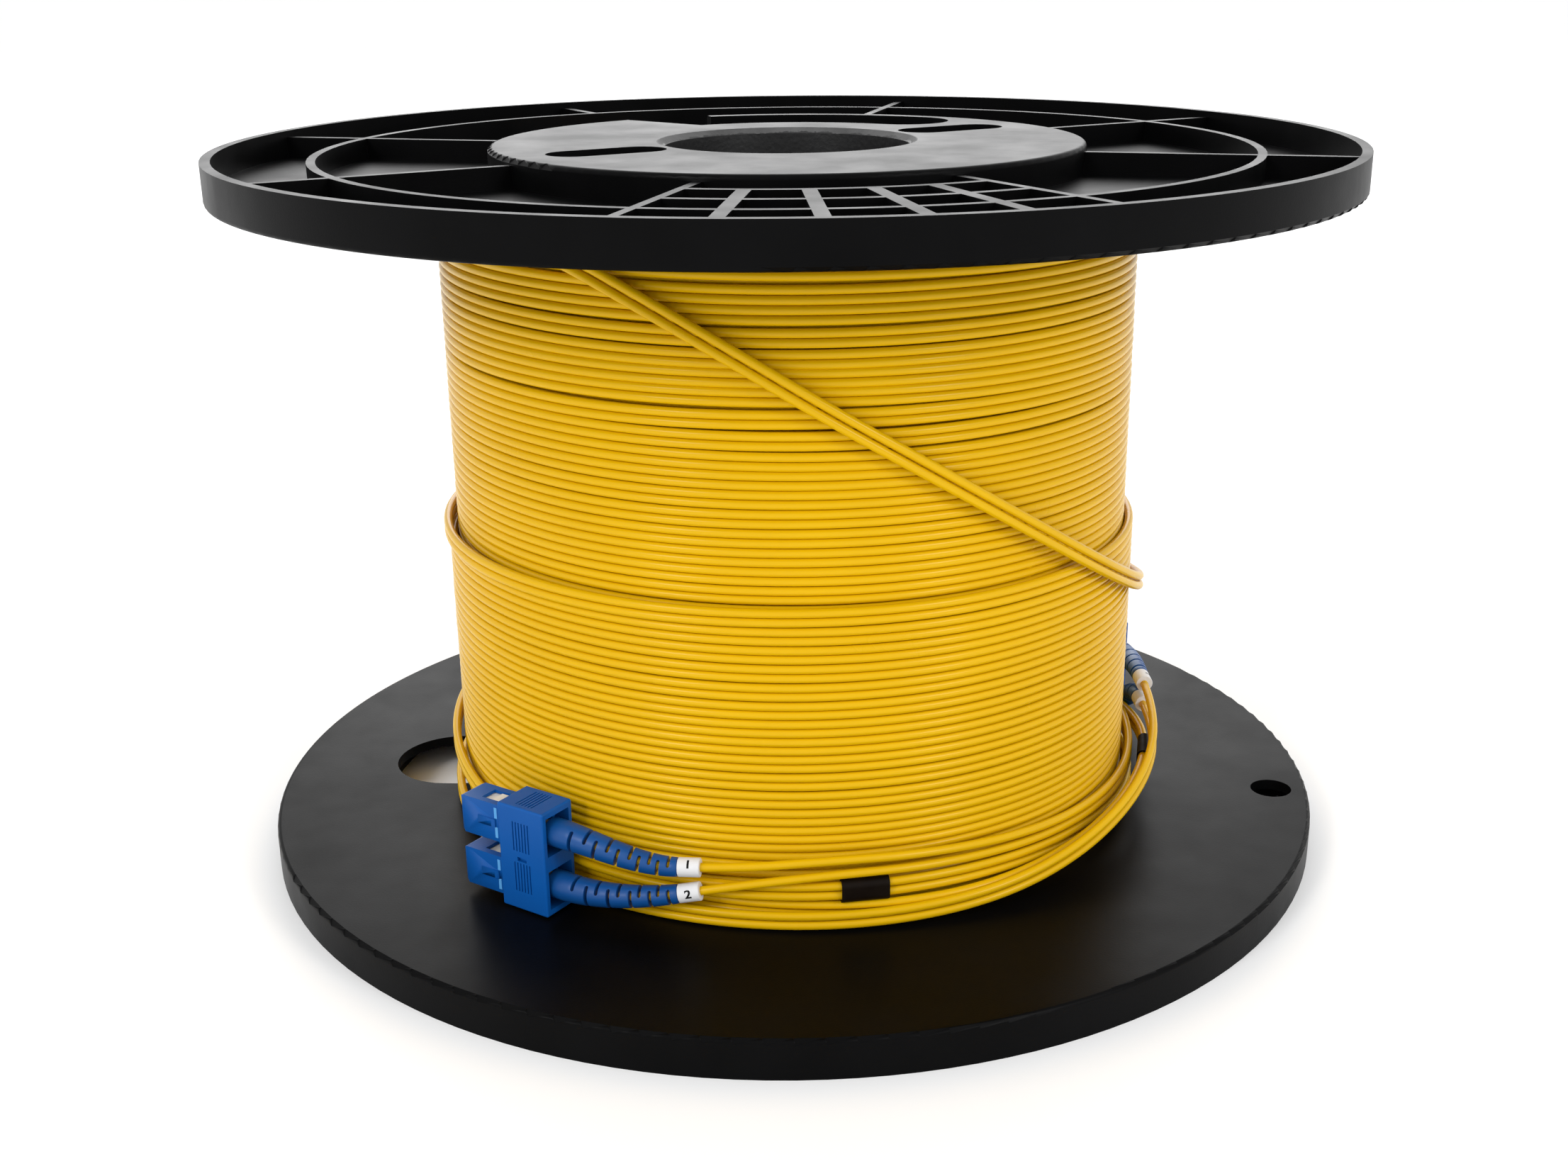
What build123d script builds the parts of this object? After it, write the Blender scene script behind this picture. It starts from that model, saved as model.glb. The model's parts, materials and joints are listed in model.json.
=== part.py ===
"""Reel of duplex fibre patch cord: a two-flange spool, its winding and two duplex plugs."""

from build123d import *
from math import cos, pi, radians, sin, tan
import os

os.makedirs("parts", exist_ok=True)

# Driving dimensions, all in millimetres and degrees ------------------------------------------

# Spool. The origin is on the axis, in the plane that the reel stands on.
flange_radius = 130.0
flange_height = 9.0
traverse = 148.6
web_thickness = 2.6
web_edge_radius = 1.0
rim_wall = 2.3
rib_step_down = 1.5
rib_wall = 2.0
rib_count = 8
rib_first_angle = 30.0
rib_root = 1.0
mid_ring_radius = 107.0
hub_radius = 68.5
hub_edge_radius = 1.2

# Grid of wide bars and thin arcs between two of the ribs
grid_start_angle = -105.0
grid_bars = 4
grid_bar_wall = 3.0
grid_arc_radii = (79.0, 93.2)

# Bore, drive slots and the holes that the cord is led through
arbor_bore_radius = 28.5
arbor_wall = 1.5
arbor_fit = 0.05
arbor_lip = 0.2
slot_angle = 30.0
slot_half_width = 6.2
slot_wall = 1.7
slot_travel = 15.6
lead_hole_angle = 120.0
lead_hole_clear_angle = 12.0
lead_hole_width = 29.8
lead_hole_inner = 70.5
lead_hole_outer = 103.7
tie_hole_angle = 306.0
tie_hole_pitch_radius = 121.0
tie_hole_radius = 5.0

# Channel in the hub that stores the inner end of the cord
channel_inner_radius = 43.0
channel_outer_radius = 64.5
channel_start_angle = 56.0
channel_wall_end_angle = 108.0
channel_mouth_angle = 128.0
channel_mouth_flare = 8.0
channel_overrun = 2.0

# Lower flange: the same moulding turned over, then turned about the axis
lower_flange_turn = 297.0

# Barrel and the spigots that it sits on
barrel_radius = 62.0
barrel_wall = 2.4
barrel_fit = 0.15
spigot_wall = 2.4
spigot_height = 8.0

# Winding
strand_diameter = 2.0
winding_gap = 0.3
inner_layers_radius = 77.0
upper_winding_radius = 81.1
lower_winding_radius = 83.3
winding_step_height = 85.0

# Duplex plug. Distances along a plug start at the rear face of its clip.
plug_pitch = 12.7
clip_length = 12.9
clip_depth = 10.0
clip_height = 25.0
clip_edge_radius = 0.5
clip_rest_gap = 0.3
clip_slot_length = 2.6
clip_slot_height = 1.0
clip_slot_depth = 0.8
groove_count = 6
groove_spacing = 0.85
groove_width = 0.35
groove_depth = 0.25
groove_length = 7.0
groove_upper_middle = 4.4
groove_lower_middle = -5.4
housing_depth = 7.4
housing_height = 9.0
housing_wall = 0.75
housing_rear = 4.0
housing_front = 25.0
housing_fit = 0.1
nose_chamfer = 1.0
nose_chamfer_side = 0.5
window_rear = 12.2
window_front = 19.8
window_width = 4.2
key_rear = 14.6
key_front = 19.6
key_width = 1.9
key_height = 0.4
frame_fit = 0.2
frame_rear = 8.0
frame_front = 24.0
frame_chamber_radius = 2.2
frame_chamber_front = 15.5
frame_bore_radius = 1.4
frame_chamfer = 0.4
boss_rear = 14.6
boss_front = 17.2
boss_width = 3.4
boss_rise = 0.7
ferrule_radius = 1.25
ferrule_tip = 24.6
ferrule_chamfer = 0.25
collar_radius = 2.0
collar_length = 2.0
spring_wire = 0.4
spring_radius = 1.6
spring_length = 3.5
spring_turns = 4.5
stop_body_radius = 2.4
stop_body_rear = 3.0
stop_spigot_radius = 2.1
crimp_radius = 2.2
crimp_rear = -1.8
boot_bore_fit = 0.1
boot_front = 1.8
boot_head_end = -2.0
boot_head_radius = 3.2
boot_tail_radius = 2.1
boot_stations = 6
number_sleeve_radius = 2.1
number_sleeve_length = 4.8
number_sleeve_fit = 0.1

# Share of the shorter run beside a corner that the arc at the corner takes up
bend_share = 0.45

# Heat-shrink sleeve where two legs become one duplex cord
shrink_length = 10.5
shrink_wall = 0.45
shrink_slack = 0.25
front_shrink_row = 22
back_shrink_row = 23

# Where each duplex plug lies: radius and angle of its clip's rear face, and which way it points
front_plug_polar = (92.7, -123.7)
back_plug_polar = (92.7, 20.2)

# Routes of the cord outside the winding, as rows of angle, radius, middle height and half the
# distance between its two strands. A leg starts where its boot ends; the crossing turn starts
# where it comes out of the winding.
front_route = (
    (-106.2, 89.4, 20.8, 3.2),
    (-98.0, 88.7, 22.4, 2.1),
    (-86.0, 87.8, 24.0, 1.7),
    (-70.0, 86.9, 22.9, 1.5),
    (-52.0, 86.4, 21.2, 1.2),
    (-34.0, 86.2, 19.9, 1.1),
    (-16.0, 86.2, 19.4, 1.1),
    (2.0, 86.2, 20.2, 1.1),
    (20.0, 86.2, 21.6, 1.1),
    (38.0, 86.2, 23.3, 1.1),
    (56.0, 86.3, 25.2, 1.1),
    (74.0, 86.3, 26.8, 1.1),
    (92.0, 86.3, 27.9, 1.1),
    (110.0, 86.3, 28.6, 1.1),
    (128.0, 86.3, 29.0, 1.1),
    (146.0, 86.3, 29.0, 1.1),
    (164.0, 86.3, 28.2, 1.1),
    (182.0, 86.3, 26.3, 1.1),
    (200.0, 86.2, 23.6, 1.1),
    (218.0, 86.2, 20.8, 1.1),
    (236.0, 86.2, 18.8, 1.1),
    (254.0, 86.6, 17.9, 1.1),
    (272.0, 87.0, 17.7, 1.1),
    (288.0, 87.0, 17.7, 1.1),
    (304.0, 86.5, 16.9, 1.1),
    (320.0, 86.2, 15.7, 1.1),
    (338.0, 86.2, 14.3, 1.1),
    (356.0, 86.2, 12.9, 1.1),
    (374.0, 86.2, 11.9, 1.1),
    (392.0, 86.2, 11.5, 1.1),
    (410.0, 86.1, 11.6, 1.1),
    (426.0, 85.4, 12.0, 1.1),
    (440.0, 84.2, 12.6, 1.1),
    (452.0, 82.6, 13.1, 1.1),
)
back_route = (
    (2.4, 89.8, 27.7, 2.9),
    (-6.0, 90.6, 27.4, 2.6),
    (-20.0, 92.6, 25.1, 1.6),
    (-33.0, 92.9, 21.0, 1.1),
    (-46.0, 92.4, 16.9, 1.1),
    (-59.0, 91.1, 13.5, 1.1),
    (-73.0, 89.2, 11.7, 1.1),
    (-89.0, 88.2, 11.3, 1.1),
    (-106.0, 87.0, 11.2, 1.1),
    (-124.0, 86.2, 11.2, 1.1),
    (-142.0, 86.2, 11.3, 1.1),
    (-160.0, 86.2, 11.9, 1.1),
    (-178.0, 86.2, 13.0, 1.1),
    (-196.0, 86.2, 14.2, 1.1),
    (-214.0, 86.3, 15.3, 1.1),
    (-232.0, 86.3, 16.1, 1.1),
    (-250.0, 86.3, 16.6, 1.1),
    (-268.0, 86.3, 16.9, 1.1),
    (-286.0, 86.2, 16.9, 1.1),
    (-304.0, 86.2, 16.7, 1.1),
    (-322.0, 86.2, 16.5, 1.1),
    (-338.0, 86.6, 16.8, 1.1),
    (-352.0, 88.0, 18.4, 1.1),
    (-366.0, 89.4, 20.1, 1.1),
    (-380.0, 89.9, 20.0, 1.1),
    (-394.0, 90.0, 17.9, 1.1),
    (-408.0, 89.8, 15.2, 1.1),
    (-422.0, 88.8, 13.2, 1.1),
    (-436.0, 87.2, 12.8, 1.1),
    (-450.0, 85.4, 12.9, 1.1),
    (-464.0, 83.6, 13.0, 1.1),
    (-476.0, 82.2, 13.2, 1.1),
)
crossing_route = (
    (-149.0, 79.6, 155.4, 1.1),
    (-138.0, 81.8, 154.4, 1.15),
    (-126.0, 83.6, 150.7, 1.2),
    (-112.0, 84.0, 142.8, 1.25),
    (-98.0, 84.0, 132.9, 1.28),
    (-84.0, 84.0, 121.3, 1.3),
    (-70.0, 84.1, 108.8, 1.3),
    (-57.0, 84.7, 96.9, 1.3),
    (-44.0, 85.8, 85.2, 1.28),
    (-31.0, 86.3, 74.8, 1.25),
    (-17.0, 86.4, 66.2, 1.2),
    (-2.0, 86.1, 60.4, 1.15),
    (13.0, 84.9, 57.2, 1.1),
    (26.0, 82.6, 55.9, 1.1),
)

# Placement ---------------------------------------------------------------------------------

winding_top = flange_height + traverse
reel_height = winding_top + flange_height
rib_height = flange_height - rib_step_down
arbor_radius = arbor_bore_radius + arbor_wall
slot_middle_radius = arbor_radius + slot_wall + slot_half_width + slot_travel / 2
rib_pitch = 360.0 / rib_count
strand_radius = strand_diameter / 2

upper_plane = Plane.XY.offset(winding_top)
lower_plane = Plane(
    origin=(0, 0, flange_height),
    x_dir=(cos(radians(lower_flange_turn)), sin(radians(lower_flange_turn)), 0),
    z_dir=(0, 0, -1),
)


def polar(radius, angle, height=0.0):
    """Point at a radius and an angle from +X round the reel's axis."""
    return Vector(radius * cos(radians(angle)), radius * sin(radians(angle)), height)


def heading(angle):
    """Level direction at an angle from +X."""
    return Vector(cos(radians(angle)), sin(radians(angle)), 0)


def save(part, name):
    """Label a finished piece and write it as parts/name.step."""
    part.label = name
    export_step(part, f"parts/{name}.step")


# Spool ---------------------------------------------------------------------------------------


def hub_channel():
    """Sketch of the channel in the hub, from its closed end to the mouth in the hub wall."""
    end_radius = (channel_outer_radius - channel_inner_radius) / 2
    centre_radius = channel_inner_radius + end_radius
    channel_reach = hub_radius + channel_overrun
    with BuildSketch() as channel:
        with BuildLine():
            inner = RadiusArc(
                polar(channel_inner_radius, channel_start_angle),
                polar(channel_inner_radius, channel_mouth_angle - channel_mouth_flare),
                -channel_inner_radius,
            )
            Line(inner @ 1, polar(channel_reach, channel_mouth_angle))
            Line(
                polar(channel_reach, channel_mouth_angle),
                polar(channel_reach, channel_wall_end_angle),
            )
            Line(
                polar(channel_reach, channel_wall_end_angle),
                polar(channel_outer_radius, channel_wall_end_angle),
            )
            outer = RadiusArc(
                polar(channel_outer_radius, channel_wall_end_angle),
                polar(channel_outer_radius, channel_start_angle),
                channel_outer_radius,
            )
            Line(outer @ 1, inner @ 0)
        make_face()
        with Locations(polar(centre_radius, channel_start_angle)):
            Circle(end_radius)
    return channel.sketch_local


def flange(plane):
    """One flange moulding: flat web to the winding, ribs and hub to the outside."""
    with BuildPart() as moulding:
        with BuildSketch(plane):
            Circle(flange_radius)
        extrude(amount=web_thickness)
        fillet(moulding.faces().sort_by(Axis(plane.origin, plane.z_dir))[0].edges(), web_edge_radius)
        with BuildSketch(plane):
            Circle(flange_radius - web_edge_radius)
            Circle(flange_radius - rim_wall, mode=Mode.SUBTRACT)
        extrude(amount=web_thickness)
        with BuildSketch(plane.offset(web_thickness)):
            Circle(flange_radius)
            Circle(flange_radius - rim_wall, mode=Mode.SUBTRACT)
        extrude(amount=flange_height - web_thickness)
        with BuildSketch(plane):
            Circle(mid_ring_radius + rib_wall / 2)
            Circle(mid_ring_radius - rib_wall / 2, mode=Mode.SUBTRACT)
        extrude(amount=rib_height)
        with BuildSketch(plane):
            rib_length = flange_radius - rim_wall - hub_radius + 2 * rib_root
            rib_middle = (flange_radius - rim_wall + hub_radius) / 2
            with PolarLocations(rib_middle, rib_count, start_angle=rib_first_angle):
                Rectangle(rib_length, rib_wall)
        extrude(amount=rib_height)
        with BuildSketch(plane.offset(web_thickness)):
            Circle(mid_ring_radius - rib_wall / 2)
            Circle(hub_radius, mode=Mode.SUBTRACT)
            with BuildLine():
                Polyline(
                    (0, 0),
                    polar(flange_radius, lead_hole_angle - lead_hole_clear_angle),
                    polar(flange_radius, lead_hole_angle + lead_hole_clear_angle),
                    (0, 0),
                )
            make_face(mode=Mode.INTERSECT)
        extrude(amount=rib_height, mode=Mode.SUBTRACT)
        for radius in grid_arc_radii:
            with BuildSketch(plane):
                Circle(radius + rib_wall / 2)
                Circle(radius - rib_wall / 2, mode=Mode.SUBTRACT)
                with BuildLine():
                    Polyline(
                        (0, 0),
                        polar(2 * flange_radius, grid_start_angle),
                        polar(2 * flange_radius, grid_start_angle + rib_pitch),
                        (0, 0),
                    )
                make_face(mode=Mode.INTERSECT)
            extrude(amount=rib_height)
        bar_pitch = rib_pitch / (grid_bars + 1)
        bar_inner = grid_arc_radii[0]
        bar_length = flange_radius - rim_wall - bar_inner + rib_root
        with BuildSketch(plane):
            with PolarLocations(
                bar_inner + bar_length / 2,
                grid_bars,
                start_angle=grid_start_angle + bar_pitch,
                angular_range=bar_pitch * grid_bars,
            ):
                Rectangle(bar_length, grid_bar_wall)
        extrude(amount=rib_height)
        with BuildSketch(plane):
            Circle(hub_radius)
        extrude(amount=flange_height)
        rounded = moulding.edges().filter_by(GeomType.CIRCLE).filter_by(
            lambda edge: abs(edge.radius - hub_radius) < hub_edge_radius
            and abs(plane.to_local_coords(edge.arc_center).Z - flange_height) < hub_edge_radius
        )
        fillet(rounded, hub_edge_radius)
        with BuildSketch(plane.offset(web_thickness)):
            add(hub_channel())
        extrude(amount=flange_height, mode=Mode.SUBTRACT)
        with BuildSketch(plane):
            spigot_radius = barrel_radius - barrel_wall - barrel_fit
            Circle(spigot_radius)
            Circle(spigot_radius - spigot_wall, mode=Mode.SUBTRACT)
        extrude(amount=-spigot_height)
        with BuildSketch(plane.offset(-spigot_height)):
            Circle(arbor_radius + arbor_fit)
            with PolarLocations(slot_middle_radius, 2, start_angle=slot_angle):
                SlotCenterToCenter(slot_travel, 2 * slot_half_width)
            with Locations(polar((lead_hole_inner + lead_hole_outer) / 2, lead_hole_angle)):
                SlotOverall(lead_hole_outer - lead_hole_inner, lead_hole_width, rotation=lead_hole_angle)
            with Locations(polar(tie_hole_pitch_radius, tie_hole_angle)):
                Circle(tie_hole_radius)
        extrude(amount=spigot_height + 2 * flange_height, mode=Mode.SUBTRACT)
    return moulding.part


save(flange(upper_plane), "upper_flange")
save(flange(lower_plane), "lower_flange")

with BuildPart() as arbor_tube:
    with BuildSketch():
        Circle(arbor_radius)
        Circle(arbor_bore_radius, mode=Mode.SUBTRACT)
    extrude(amount=reel_height)
    mouths = arbor_tube.edges().filter_by(GeomType.CIRCLE).sort_by(SortBy.RADIUS)[:2]
    chamfer(mouths, arbor_wall - arbor_lip)
save(arbor_tube.part, "arbor_tube")

with BuildPart() as barrel:
    with BuildSketch(Plane.XY.offset(flange_height)):
        Circle(barrel_radius)
        Circle(barrel_radius - barrel_wall, mode=Mode.SUBTRACT)
    extrude(amount=traverse)
save(barrel.part, "barrel")

# Winding -------------------------------------------------------------------------------------

winding_bottom = flange_height + winding_gap
winding_height = traverse - 2 * winding_gap

with BuildPart() as inner_layers:
    with BuildSketch(Plane.XY.offset(winding_bottom)):
        Circle(inner_layers_radius)
        Circle(barrel_radius + winding_gap, mode=Mode.SUBTRACT)
    extrude(amount=winding_height)
save(inner_layers.part, "inner_layers")

with BuildPart() as outer_layers:
    with BuildSketch(Plane.XY.offset(winding_bottom)):
        Circle(upper_winding_radius)
        Circle(inner_layers_radius + winding_gap, mode=Mode.SUBTRACT)
    extrude(amount=winding_height)
    with BuildSketch(Plane.XY.offset(winding_bottom)):
        Circle(lower_winding_radius)
        Circle(inner_layers_radius + winding_gap, mode=Mode.SUBTRACT)
    extrude(amount=winding_step_height - winding_bottom)
save(outer_layers.part, "outer_layers")

# Duplex plugs --------------------------------------------------------------------------------


def plug_plane(placing, turn):
    """Plane on the rear face of a duplex plug's clip, with its normal towards the noses.

    Its local X is level and its local Y points up; turn is +90 or -90, the way the plug points
    round the axis.
    """
    radius, angle = placing
    height = flange_height + clip_rest_gap + clip_height / 2
    nose = heading(angle + turn)
    return Plane(
        origin=polar(radius, angle, height),
        x_dir=Vector(0, 0, 1).cross(nose),
        z_dir=nose,
    )


def along(plane, distance, width_shift=0.0, height_shift=0.0):
    """Plane across the plug at a distance from the clip's rear face."""
    return Plane(
        origin=plane.from_local_coords((width_shift, height_shift, distance)),
        x_dir=plane.x_dir,
        z_dir=plane.z_dir,
    )


def seen_from_above(plane, distance):
    """Level plane through the plug's axis at a distance, with its local X towards the nose."""
    return Plane(origin=along(plane, distance).origin, x_dir=plane.z_dir, z_dir=(0, 0, 1))


def seen_from_side(plane, distance):
    """Upright plane on the plug's axis at a distance, with its normal across the plug."""
    return Plane(origin=along(plane, distance).origin, x_dir=plane.z_dir, z_dir=plane.x_dir)


def duplex_clip(rear):
    """Clip that holds two housings side by side."""
    with BuildPart() as clip:
        with BuildSketch(rear):
            Rectangle(clip_depth, clip_height)
        extrude(amount=clip_length)
        fillet(clip.edges(), clip_edge_radius)
        with BuildSketch(rear):
            with GridLocations(0, plug_pitch, 1, 2):
                Rectangle(housing_depth + 2 * housing_fit, housing_height + 2 * housing_fit)
        extrude(amount=clip_length, mode=Mode.SUBTRACT)
        face = seen_from_side(rear, clip_length / 2)
        with BuildSketch(face.offset(clip_depth / 2 - clip_slot_depth)):
            Rectangle(clip_slot_length, clip_slot_height)
        extrude(amount=clip_depth, mode=Mode.SUBTRACT)
        for side in (-1, 1):
            with BuildSketch(face.offset(side * (clip_depth / 2 - groove_depth))):
                with Locations((0, groove_upper_middle), (0, groove_lower_middle)):
                    with GridLocations(groove_spacing, 0, groove_count, 1):
                        Rectangle(groove_width, groove_length)
            extrude(amount=side * clip_depth, mode=Mode.SUBTRACT)
        top = seen_from_above(rear, clip_length / 2)
        for side in (-1, 1):
            with BuildSketch(top.offset(side * (clip_height / 2 - groove_depth))):
                with GridLocations(groove_spacing, 0, groove_count, 1):
                    Rectangle(groove_width, groove_length)
            extrude(amount=side * clip_height, mode=Mode.SUBTRACT)
    return clip.part


def outer_housing(plug):
    """Push-pull housing of one plug, open from end to end, with a window above and below."""
    with BuildPart() as housing:
        with BuildSketch(plug.offset(housing_rear)):
            Rectangle(housing_depth, housing_height)
        extrude(amount=housing_front - housing_rear)
        nose = housing.faces().sort_by(Axis(plug.origin, plug.z_dir))[-1]
        chamfer(nose.edges(), nose_chamfer, nose_chamfer_side)
        with BuildSketch(plug.offset(housing_rear)):
            Rectangle(housing_depth - 2 * housing_wall, housing_height - 2 * housing_wall)
        extrude(amount=housing_front - housing_rear, mode=Mode.SUBTRACT)
        with BuildSketch(seen_from_above(plug, (window_rear + window_front) / 2)):
            Rectangle(window_front - window_rear, window_width)
        extrude(amount=housing_height, both=True, mode=Mode.SUBTRACT)
        key_face = seen_from_side(plug, (key_rear + key_front) / 2)
        with BuildSketch(key_face.offset(housing_depth / 2 - housing_wall / 2)):
            Rectangle(key_front - key_rear, key_width)
        extrude(amount=key_height + housing_wall / 2)
    return housing.part


def plug_frame(plug):
    """Inner plug frame: bore for the ferrule, chamber for its spring, two latch bosses."""
    frame_depth = housing_depth - 2 * housing_wall - 2 * frame_fit
    frame_height = housing_height - 2 * housing_wall - 2 * frame_fit
    with BuildPart() as frame:
        with BuildSketch(plug.offset(frame_rear)):
            Rectangle(frame_depth, frame_height)
        extrude(amount=frame_front - frame_rear)
        nose = frame.faces().sort_by(Axis(plug.origin, plug.z_dir))[-1]
        chamfer(nose.edges(), frame_chamfer)
        with BuildSketch(seen_from_above(plug, (boss_rear + boss_front) / 2)):
            Rectangle(boss_front - boss_rear, boss_width)
        extrude(amount=frame_height / 2 + boss_rise, both=True)
        with BuildSketch(plug.offset(frame_rear)):
            Circle(frame_chamber_radius)
        extrude(amount=frame_chamber_front - frame_rear, mode=Mode.SUBTRACT)
        with BuildSketch(plug.offset(frame_rear)):
            Circle(frame_bore_radius)
        extrude(amount=frame_front - frame_rear, mode=Mode.SUBTRACT)
    return frame.part


def ferrule(plug):
    """Ferrule with the collar that its spring pushes against."""
    with BuildPart() as pin:
        with BuildSketch(plug.offset(frame_chamber_front - collar_length)):
            Circle(collar_radius)
        extrude(amount=collar_length)
        with BuildSketch(plug.offset(frame_chamber_front - collar_length)):
            Circle(ferrule_radius)
        extrude(amount=ferrule_tip - frame_chamber_front + collar_length)
        tip = pin.faces().sort_by(Axis(plug.origin, plug.z_dir))[-1]
        chamfer(tip.edges(), ferrule_chamfer)
    return pin.part


def ferrule_spring(plug):
    """Helical spring between the stop body and the ferrule's collar."""
    coil_length = spring_length - spring_wire
    start = frame_chamber_front - collar_length - spring_length + spring_wire / 2
    with BuildPart() as spring:
        with BuildLine():
            coil = Helix(
                coil_length / spring_turns,
                coil_length,
                spring_radius,
                center=plug.offset(start).origin,
                direction=plug.z_dir,
            )
        with BuildSketch(Plane(origin=coil @ 0, z_dir=coil % 0)):
            Circle(spring_wire / 2)
        sweep(path=coil, is_frenet=True)
    return spring.part


def stop_body(plug):
    """Stop body: closes the plug frame, carries the spring and passes the strand."""
    spring_seat = frame_chamber_front - collar_length - spring_length
    with BuildPart() as body:
        with BuildSketch(plug.offset(stop_body_rear)):
            Circle(stop_body_radius)
        extrude(amount=frame_rear - stop_body_rear)
        with BuildSketch(plug.offset(frame_rear)):
            Circle(stop_spigot_radius)
        extrude(amount=spring_seat - frame_rear)
        with BuildSketch(plug.offset(stop_body_rear)):
            Circle(strand_radius)
        extrude(amount=spring_seat - stop_body_rear, mode=Mode.SUBTRACT)
    return body.part


def crimp_ring(plug):
    """Crimp ring that holds the strand's yarn on the stop body."""
    with BuildPart() as ring:
        with BuildSketch(plug.offset(crimp_rear)):
            Circle(crimp_radius)
            Circle(strand_radius + number_sleeve_fit, mode=Mode.SUBTRACT)
        extrude(amount=stop_body_rear - crimp_rear)
    return ring.part


def route_point(row, level):
    """Point of a pair's route: level is +1 for the upper strand and -1 for the lower one."""
    angle, radius, middle, half_gap = row
    return polar(radius, angle, middle + level * half_gap)


def boot_end(route, level):
    """Where a boot ends and which way the strand leaves it."""
    end = route_point(route[0], level)
    return end, (route_point(route[1], level) - end).normalized()


def strain_relief_boot(plug, route, level):
    """Boot: a straight head over the crimp ring and a tapered, bent tail."""
    end, way = boot_end(route, level)
    start = plug.offset(boot_head_end).origin
    reach = (end - start).length / 3
    with BuildPart() as boot:
        with BuildSketch(plug.offset(boot_head_end)):
            Circle(boot_head_radius)
        extrude(amount=boot_front - boot_head_end)
        with BuildLine(mode=Mode.PRIVATE):
            bend = Bezier(start, start - plug.z_dir * reach, end - way * reach, end)
        for station in range(boot_stations + 1):
            place = station / boot_stations
            with BuildSketch(Plane(origin=bend @ place, z_dir=bend % place)):
                Circle(boot_head_radius + place * (boot_tail_radius - boot_head_radius))
        loft()
        with BuildSketch(plug.offset(crimp_rear)):
            Circle(crimp_radius + boot_bore_fit)
        extrude(amount=boot_front - crimp_rear, mode=Mode.SUBTRACT)
    return boot.part


def number_sleeve(route, level):
    """Marker sleeve round a strand just behind its boot."""
    end, way = boot_end(route, level)
    with BuildPart() as sleeve:
        with BuildSketch(Plane(origin=end, z_dir=way)):
            Circle(number_sleeve_radius)
            Circle(strand_radius + number_sleeve_fit, mode=Mode.SUBTRACT)
        extrude(amount=number_sleeve_length)
    return sleeve.part


def duplex_plug(side, placing, turn, route):
    """Every piece of one duplex plug, written with the side's name in front."""
    rear = plug_plane(placing, turn)
    save(duplex_clip(rear), f"{side}_duplex_clip")
    for number, level in ((1, 1), (2, -1)):
        plug = along(rear, 0.0, height_shift=level * plug_pitch / 2)
        save(outer_housing(plug), f"{side}_housing_{number}")
        save(plug_frame(plug), f"{side}_plug_frame_{number}")
        save(ferrule(plug), f"{side}_ferrule_{number}")
        save(ferrule_spring(plug), f"{side}_ferrule_spring_{number}")
        save(stop_body(plug), f"{side}_stop_body_{number}")
        save(crimp_ring(plug), f"{side}_crimp_ring_{number}")
        save(strain_relief_boot(plug, route, level), f"{side}_boot_{number}")
        save(number_sleeve(route, level), f"{side}_number_sleeve_{number}")


duplex_plug("front", front_plug_polar, -90.0, front_route)
duplex_plug("back", back_plug_polar, 90.0, back_route)

# Cord outside the winding --------------------------------------------------------------------


def bend_radii(points):
    """Arc radius at each inner point, as large as the shorter run beside it allows."""
    radii = []
    for before, corner, after in zip(points, points[1:], points[2:]):
        run_in = corner - before
        run_out = after - corner
        turn = radians(run_in.get_angle(run_out))
        radii.append(bend_share * min(run_in.length, run_out.length) / tan(turn / 2))
    return radii


def strand(route, level, name):
    """Strand of a pair along straight runs and tangent arcs, with its radii and volume printed."""
    points = [route_point(row, level) for row in route]
    radii = bend_radii(points)
    with BuildPart() as cord:
        with BuildLine() as line:
            FilletPolyline(*points, radius=radii)
        path = line.wires()[0]
        with BuildSketch(Plane(origin=path @ 0, z_dir=path % 0)):
            Circle(strand_radius)
        sweep(path=path)
    expected = pi * strand_radius**2 * path.length
    print(name, "length", round(path.length, 1), "volume ratio", round(cord.part.volume / expected, 4))
    print(name, "radii", [round(radius, 1) for radius in radii])
    save(cord.part, name)


def shrink_sleeve(route, index, name):
    """Heat-shrink sleeve round both strands, half way between two points of their route."""
    angle_a, radius_a, height_a, gap_a = route[index]
    angle_b, radius_b, height_b, gap_b = route[index + 1]
    start = polar(radius_a, angle_a, height_a)
    end = polar(radius_b, angle_b, height_b)
    way = (end - start).normalized()
    middle = (start + end) / 2
    outward = Vector(middle.X, middle.Y, 0).normalized()
    across = Plane(origin=middle - way * shrink_length / 2, x_dir=way.cross(outward), z_dir=way)
    inner_height = strand_diameter + shrink_slack
    inner_width = inner_height + gap_a + gap_b
    with BuildPart() as sleeve:
        with BuildSketch(across):
            SlotOverall(inner_width + 2 * shrink_wall, inner_height + 2 * shrink_wall)
            SlotOverall(inner_width, inner_height, mode=Mode.SUBTRACT)
        extrude(amount=shrink_length)
    save(sleeve.part, name)


for number, level in ((1, 1), (2, -1)):
    strand(front_route, level, f"front_leg_{number}")
    strand(back_route, level, f"back_leg_{number}")
    strand(crossing_route, level, f"crossing_strand_{number}")

shrink_sleeve(front_route, front_shrink_row, "front_shrink_sleeve")
shrink_sleeve(back_route, back_shrink_row, "back_shrink_sleeve")
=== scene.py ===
"""Looks of a cable reel: a moulded spool, its wound duplex cord and the two duplex plugs."""

import json
import logging
import math
import random
from collections.abc import Callable
from dataclasses import dataclass
from enum import Enum

import bpy
from mathutils import Matrix, Vector


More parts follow.
